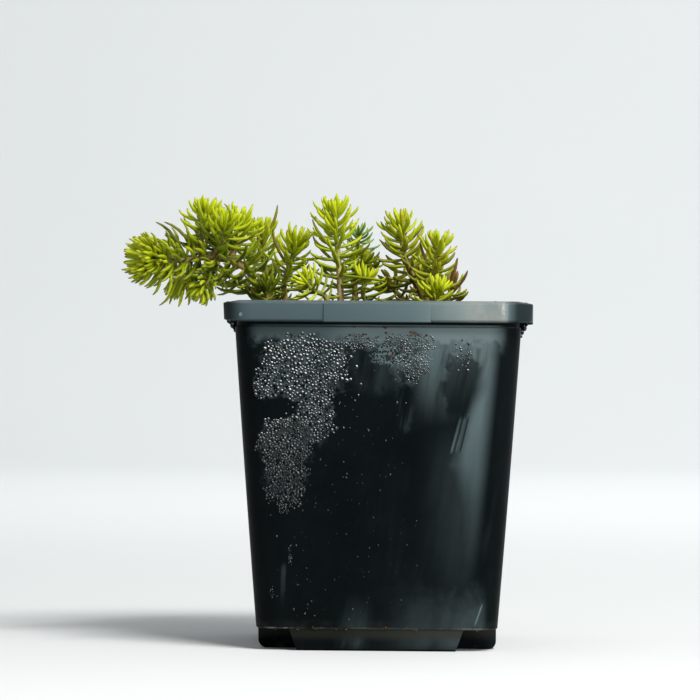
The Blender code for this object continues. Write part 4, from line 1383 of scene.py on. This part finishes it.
def inside_box(points):
    """Whether leaf points, with a leaf's thickness round them, stay in the frame's box."""
    low, high = (np.array(corner) for corner in cad_box)
    return bool((points > low + FINE_LEAF_RADIUS).all() and (points < high - FINE_LEAF_RADIUS).all())


def allowed(points, others, fine):
    """Whether a leaf may go through these points."""
    if not clear_of_pot(points):
        return False
    if fine:
        return inside_box(points) and gap_to(points, others) > FINE_LEAF_RADIUS + FINE_LEAF_GAP
    return gap_to(points, others) > LEAF_RADIUS + LEAF_GAP


def place_leaves(shoot, seed, others, offset):
    """Leaves in a spiral up the shoot, closer, shorter and steeper towards its tip.

    A leaf that isn't allowed where it would go is bent towards its own stem, then shortened, and left
    out where nothing clears it. The leaves with an offset are the finer ones that fill the heads.
    """
    draw = random.Random(seed)
    leaves = []
    long, short = shoot["reach"]
    wide, steep = (math.radians(angle) for angle in shoot["spread"])
    keep_from = shoot.get("filled", FILLED_FROM) if offset else -1.0
    for number in range(shoot["leaves"]):
        rank = min(1.0, (number + 0.5 + offset) / shoot["leaves"])
        climb = 1 - (1 - rank) ** CROWDING
        share = shoot["bare"] + (1 - shoot["bare"]) * climb
        turn = (number + offset) * GOLDEN_ANGLE + shake(draw, TURN_SHAKE)
        spread = wide + (steep - wide) * rank**STEEPENING + shake(draw, SPREAD_SHAKE)
        length = (long + (short - long) * rank**SHORTENING) * draw.uniform(*LENGTH_SHAKE) * MM
        if climb < keep_from:
            continue
        if offset:
            spread *= 1 - FINE_STEEPER * climb
            length *= FINE_SHORTER
        for bend, keep in LEAF_TRIES:
            line, directions = leaf_line(
                shoot["path"], shoot["frames"], share, turn, spread * bend, length * keep
            )
            if allowed(samples_of(line), others, offset > 0):
                leaves.append(dict(line=line, directions=directions, climb=climb))
                break
    return leaves


def with_path(shoot, standing):
    """The shoot with its path and frames, and with its long leaves on it."""
    path = shoot_path(shoot, standing, STEM_STEP)
    laid = dict(shoot, path=path, frames=frames_along(path))
    laid["placed"] = [long_leaf(laid, *leaf) for leaf in shoot.get("long_leaves", ())]
    return laid


def taken_up(shoot):
    """The stretches of a shoot's stem and of the leaves already on it."""
    stem = stretches([shoot["path"]], shoot["girth"][0] * MM)
    if not shoot["placed"]:
        return stem
    return np.concatenate([stem, stretches([leaf["line"] for leaf in shoot["placed"]], LEAF_RADIUS)])


def beside(laid, name):
    """The stretches of every other stem than this one."""
    shoots = [shoot for other in laid if other != name for shoot in laid[other]]
    return np.concatenate([taken_up(shoot) for shoot in shoots])


def lay_out_stems():
    """Every shoot with its path and frames, its long leaves, its spiral leaves and the ones between."""
    laid = {
        name: [with_path(shoot, number == 0) for number, shoot in enumerate(shoots)]
        for name, shoots in SPRIGS.items()
    }
    for offset in OFFSETS:
        for order, (name, shoots) in enumerate(laid.items()):
            others = beside(laid, name)
            for number, shoot in enumerate(shoots):
                if offset not in FULLER_OFFSETS or "fuller" in shoot:
                    seed = 100 * order + number + int(10000 * offset)
                    shoot["placed"] += place_leaves(shoot, seed, others, offset)
    return laid


def needle_model():
    """One straight needle, one unit long and of one unit radius, with a blunt rounded tip."""
    bpy.ops.mesh.primitive_circle_add(vertices=6, radius=NEEDLE[0][1], fill_type="NGON")
    needle = named("needle")
    start_edit()
    for (low, wide), (high, thin) in zip(NEEDLE, NEEDLE[1:]):
        extrude(high - low, (thin / wide, thin / wide, 1))
    extrude(1 - NEEDLE[-1][0])
    bpy.ops.mesh.merge(type="CENTER")
    end_edit()
    needle.data.shade_smooth()
    return needle


def bent_needle(model, leaf, slim, older, draw, bronze, blue):
    """A copy of the needle, bent along its leaf's line, with its growth written on it."""
    mesh = model.data.copy()
    count = len(mesh.vertices)
    shape = np.empty(count * 3)
    mesh.vertices.foreach_get("co", shape)
    shape = shape.reshape(-1, 3)
    root, middle, tip = (np.array(point) for point in leaf["line"])
    tangent, outward = (np.array(direction) for direction in leaf["directions"])
    end = (tip - middle) / np.linalg.norm(tip - middle)
    tip = tip - end * FINE_TIP_BACK
    pull = 2 * middle - (root + tip) / 2
    t = shape[:, 2:3]
    centre = (1 - t) ** 2 * root + 2 * t * (1 - t) * pull + t**2 * tip
    heading = (1 - t) * (pull - root) + t * (tip - pull)
    heading /= np.linalg.norm(heading, axis=1)[:, None]
    across = np.cross(tangent, outward)
    upper = np.cross(heading, across)
    radius = FINE_LEAF_RADIUS * slim * draw.uniform(*WIDTH_SHAKE)
    sway = shake(draw, SWAY) * np.linalg.norm(tip - root)
    sideways = across * (shape[:, 0:1] * radius + sway * np.sin(math.pi * t))
    points = centre + sideways + upper * shape[:, 1:2] * radius * LEAF_FLATNESS
    mesh.vertices.foreach_set("co", points.ravel())
    growth = np.ones((count, 4))
    growth[:, 0] = shape[:, 2]
    growth[:, 1] = min(1.0, max(0.0, 1 - leaf["climb"] * (1 - older) + shake(draw, AGE_SHAKE)))
    growth[:, 2] = draw.random()
    write(mesh, "growth", growth)
    write(mesh, "cast", (bronze, blue, 0.0, 1.0))
    return mesh


def stem_tube(name, shoot, standing, older, pale, look):
    """A shoot's stem: a tapering tube with a low ring at each leaf scar, rounded off at its tip."""
    path = shoot_path(shoot, standing, STEM_FINE_STEP)
    last = len(path) - 1
    thick, thin = (radius * MM for radius in shoot["girth"])
    curve = bpy.data.curves.new(name, "CURVE")
    curve.dimensions = "3D"
    curve.bevel_depth = 1.0
    curve.bevel_resolution = STEM_FINE_SIDES
    curve.use_fill_caps = True
    spline = curve.splines.new("POLY")
    spline.points.add(last)
    for i, (point, place) in enumerate(zip(spline.points, path)):
        share = i / last
        ring = 1 + STEM_RINGS * math.sin(i * RING_TURN) + STEM_RINGS * noise.noise(place / (2 * MM))
        point.co = (*place, 1.0)
        end = STEM_TIP if share >= STEM_TIP_FROM else STEM_SLIM
        point.radius = (thick + (thin - thick) * share) * ring * end
    activate(linked(name, curve))
    bpy.ops.object.convert(target="MESH")
    tube = coated(bpy.context.object, look)
    mesh = tube.data
    mesh.shade_smooth()
    centres = np.array([tuple(point) for point in path])
    growth = np.ones((len(mesh.vertices), 4))
    for i, vert in enumerate(mesh.vertices):
        nearest = np.argmin(((centres - np.array(vert.co)) ** 2).sum(1))
        growth[i, :3] = nearest / last * (1 - older)
    write(mesh, "growth", growth)
    write(mesh, "cast", (pale, 0.0, 0.0, 1.0))
    return tube


def make_foliage(leaf_look, stem_look):
    """One fine piece for each leafy stem, in the place of its solid."""
    needle = coated(needle_model(), leaf_look)
    for order, (name, shoots) in enumerate(lay_out_stems().items()):
        draw = random.Random(9000 + order)
        pale, blue = PALE.get(name, 0.0), BLUE.get(name, 0.0)
        parts = []
        for number, shoot in enumerate(shoots):
            slim, older = shoot.get("slim", 1.0), shoot.get("older", OLDER_OR_SHADED.get(name, 0.0))
            parts.append(stem_tube(f"{name} tube {number}", shoot, number == 0, older, pale, stem_look))
            for leaf in shoot["placed"]:
                bronze = leaf.get("bronze", BRONZE.get(name, 0.0))
                mesh = bent_needle(needle, leaf, slim, older, draw, bronze, blue)
                parts.append(linked("needle copy", mesh))
        piece = joined(parts, name.replace("stem_", "foliage_").replace("young_", "foliage_young_"))
        placed(piece, "foliage", name)
    remove(needle)


# Water on the front


def bead_model():
    """One dome of water, flat against the wall, looking along -Y."""
    bpy.ops.mesh.primitive_uv_sphere_add(segments=8, ring_count=6, radius=1.0)
    bead = named("bead")
    start_edit()
    bpy.ops.mesh.bisect(plane_co=(0, 0, -0.05), plane_no=(0, 0, 1), clear_inner=True, use_fill=True)
    end_edit()
    bead.data.transform(turned(QUARTER, "X"))
    bead.data.shade_smooth()
    return bead


def away_from(x, z, patch):
    """How far a place is from a patch's centre: less than 1 inside it."""
    across, height, half_width, half_height = patch
    return ((x - across) / half_width) ** 2 + ((z - height) / half_height) ** 2


def on_wall(x, z, patch):
    """Whether a bead may stand at a place of its patch: inside ragged edges, and on the wall."""
    ragged = 1.1 * noise.noise(Vector((x, 0.0, z)) / 3.0)
    inside = away_from(x, z, patch) + ragged <= 1.05 and away_from(x, z, BEAD_GAP) + 0.6 * ragged >= 1.0
    return inside and abs(x) < BEADS_WITHIN and z <= BEADS_BELOW


def bead_sites():
    """(x, z, radius) of each bead: thick in the patches, with a few strays below them."""
    draw = random.Random(77)
    small, large = BEAD_RADIUS
    kept = []
    for *patch, density, scale in BEAD_PATCHES:
        across, height, half_width, half_height = patch
        for _ in range(int(density * 8 * half_width * half_height)):
            x = across + shake(draw, BEAD_REACH) * half_width
            z = height + shake(draw, BEAD_REACH) * half_height
            radius = scale * (small + (large - small) * draw.random() ** 1.4)
            if not on_wall(x, z, patch):
                continue
            if all((x - a) ** 2 + (z - b) ** 2 > (BEAD_APART * (radius + r)) ** 2 for a, b, r in kept):
                kept.append((x, z, radius))
    for _ in range(STRAY_BEADS):
        x, z = draw.gauss(-7, 13), draw.uniform(8, 84)
        if abs(x) < 31:
            kept.append((x, z, 0.1 + 0.26 * draw.random() ** 3))
    return kept


def bead_copy(bead, place, size):
    mesh = bead.data.copy()
    mesh.transform(place @ Matrix.Diagonal((*size, 1)))
    return linked("bead copy", mesh)


def make_beads(look):
    """Beads of water that stand on the front wall, and drops that hang from the webs."""
    bead = bead_model()
    draw = random.Random(78)
    lean = turned(math.atan2(BODY_HALF_TOP - BODY_HALF_FOOT, SHOULDER_Z - STEP_Z), "X")
    copies = []
    for x, z, radius in bead_sites():
        tall = draw.uniform(*BEAD_TALL)
        size = (radius * MM, radius * MM * draw.uniform(*BEAD_PROUD), radius * MM * tall)
        slant = turned(BEAD_SLANT + shake(draw, BEAD_TURN), "Y")
        place = Matrix.Translation(on_front(x * MM, z * MM))
        copies.append(bead_copy(bead, place @ lean @ slant, size))
    for x, y, z, radius in HANGING_DROPS:
        place = Matrix.Translation((x * MM, y * MM, z * MM))
        copies.append(bead_copy(bead, place, (radius * MM, radius * MM, radius * MM * DROP_TALL)))
    remove(bead)
    return placed(coated(joined(copies, "water_beads"), look), "pot_plastic")


# Stage, camera and light


def make_stage():
    """A pale floor that curves up into a wall all round."""
    flat = STAGE_RADIUS - STAGE_COVE
    bpy.ops.mesh.primitive_circle_add(vertices=128, radius=flat, fill_type="NGON")
    stage = named("pale_floor")
    start_edit()
    bpy.ops.mesh.region_to_loop()
    radius, height = flat, 0.0
    for step in range(1, STAGE_STEPS + 1):
        angle = QUARTER * step / STAGE_STEPS
        wider, higher = flat + STAGE_COVE * math.sin(angle), STAGE_COVE * (1 - math.cos(angle))
        extrude(higher - height, (wider / radius, wider / radius, 1))
        radius, height = wider, higher
    extrude(STAGE_WALL - height)
    end_edit(outward=False)
    stage.data.shade_smooth()
    paper = new_material("pale_paper", Metallic=0.0, Specular_IOR_Level=0.1, Roughness=0.9)
    tone = noise_of(object_point(), 2.0, 3.0)
    coated(stage, feed(paper, Base_Color=blend(tone, (0.70, 0.72, 0.72), (0.74, 0.755, 0.755))))


def area_light(name, place, aim, size, power, colour=(1.0, 1.0, 1.0)):
    bpy.ops.object.light_add(type="AREA", location=place)
    light = named(name)
    light.rotation_euler = (Vector(aim) - Vector(place)).to_track_quat("-Z", "Y").to_euler()
    light.data.size = size
    light.data.energy = power
    light.data.color = colour


def make_lights():
    """A soft light from above on the right, a weaker one low on the right, and one on the wall behind."""
    scene = bpy.context.scene
    world = bpy.data.worlds.new("soft sky")
    world.use_nodes = True
    background = world.node_tree.nodes["Background"]
    background.inputs["Color"].default_value = (0.93, 0.97, 1.0, 1.0)
    background.inputs["Strength"].default_value = 0.42
    scene.world = world
    scene.view_settings.view_transform = "Standard"
    centre = (0, 0, 0.1)
    area_light("key", (0.42, -0.62, 1.0), centre, 0.4, 16.0, (1.0, 0.99, 0.96))
    area_light("side", (1.1, -0.5, 0.4), centre, 0.3, 4.0)
    area_light("wall", (0.3, 0.9, 1.4), (0.3, 2.4, 0.4), 1.2, 22.0)


def make_camera():
    side = Vector((math.cos(CAMERA_AZIMUTH), math.sin(CAMERA_AZIMUTH), 0))
    place = Vector((math.sin(CAMERA_AZIMUTH), -math.cos(CAMERA_AZIMUTH), 0)) * CAMERA_DISTANCE
    place.z = CAMERA_HEIGHT
    bpy.ops.object.camera_add(location=place)
    camera = bpy.context.object
    aim = side * CAMERA_AIM_SIDE + Vector((0, 0, CAMERA_AIM_HEIGHT))
    camera.rotation_euler = (aim - place).to_track_quat("-Z", "Y").to_euler()
    camera.rotation_euler.rotate_axis("Z", CAMERA_ROLL)
    camera.data.lens = CAMERA_LENS
    camera.data.sensor_width = 36
    bpy.context.scene.camera = camera


deselect()
make_camera()
make_lights()
make_stage()
mottle = mottle_group()
dust = dust_group()
make_pot(pot_material(mottle, dust))
make_soil(mix_material("potting_mix", (0.012, 0.008, 0.005), (0.06, 0.036, 0.02), mottle, 0.92))
make_crumbs(mottle)
make_foliage(leaf_material(mottle), stem_material(mottle))
make_beads(water_material())
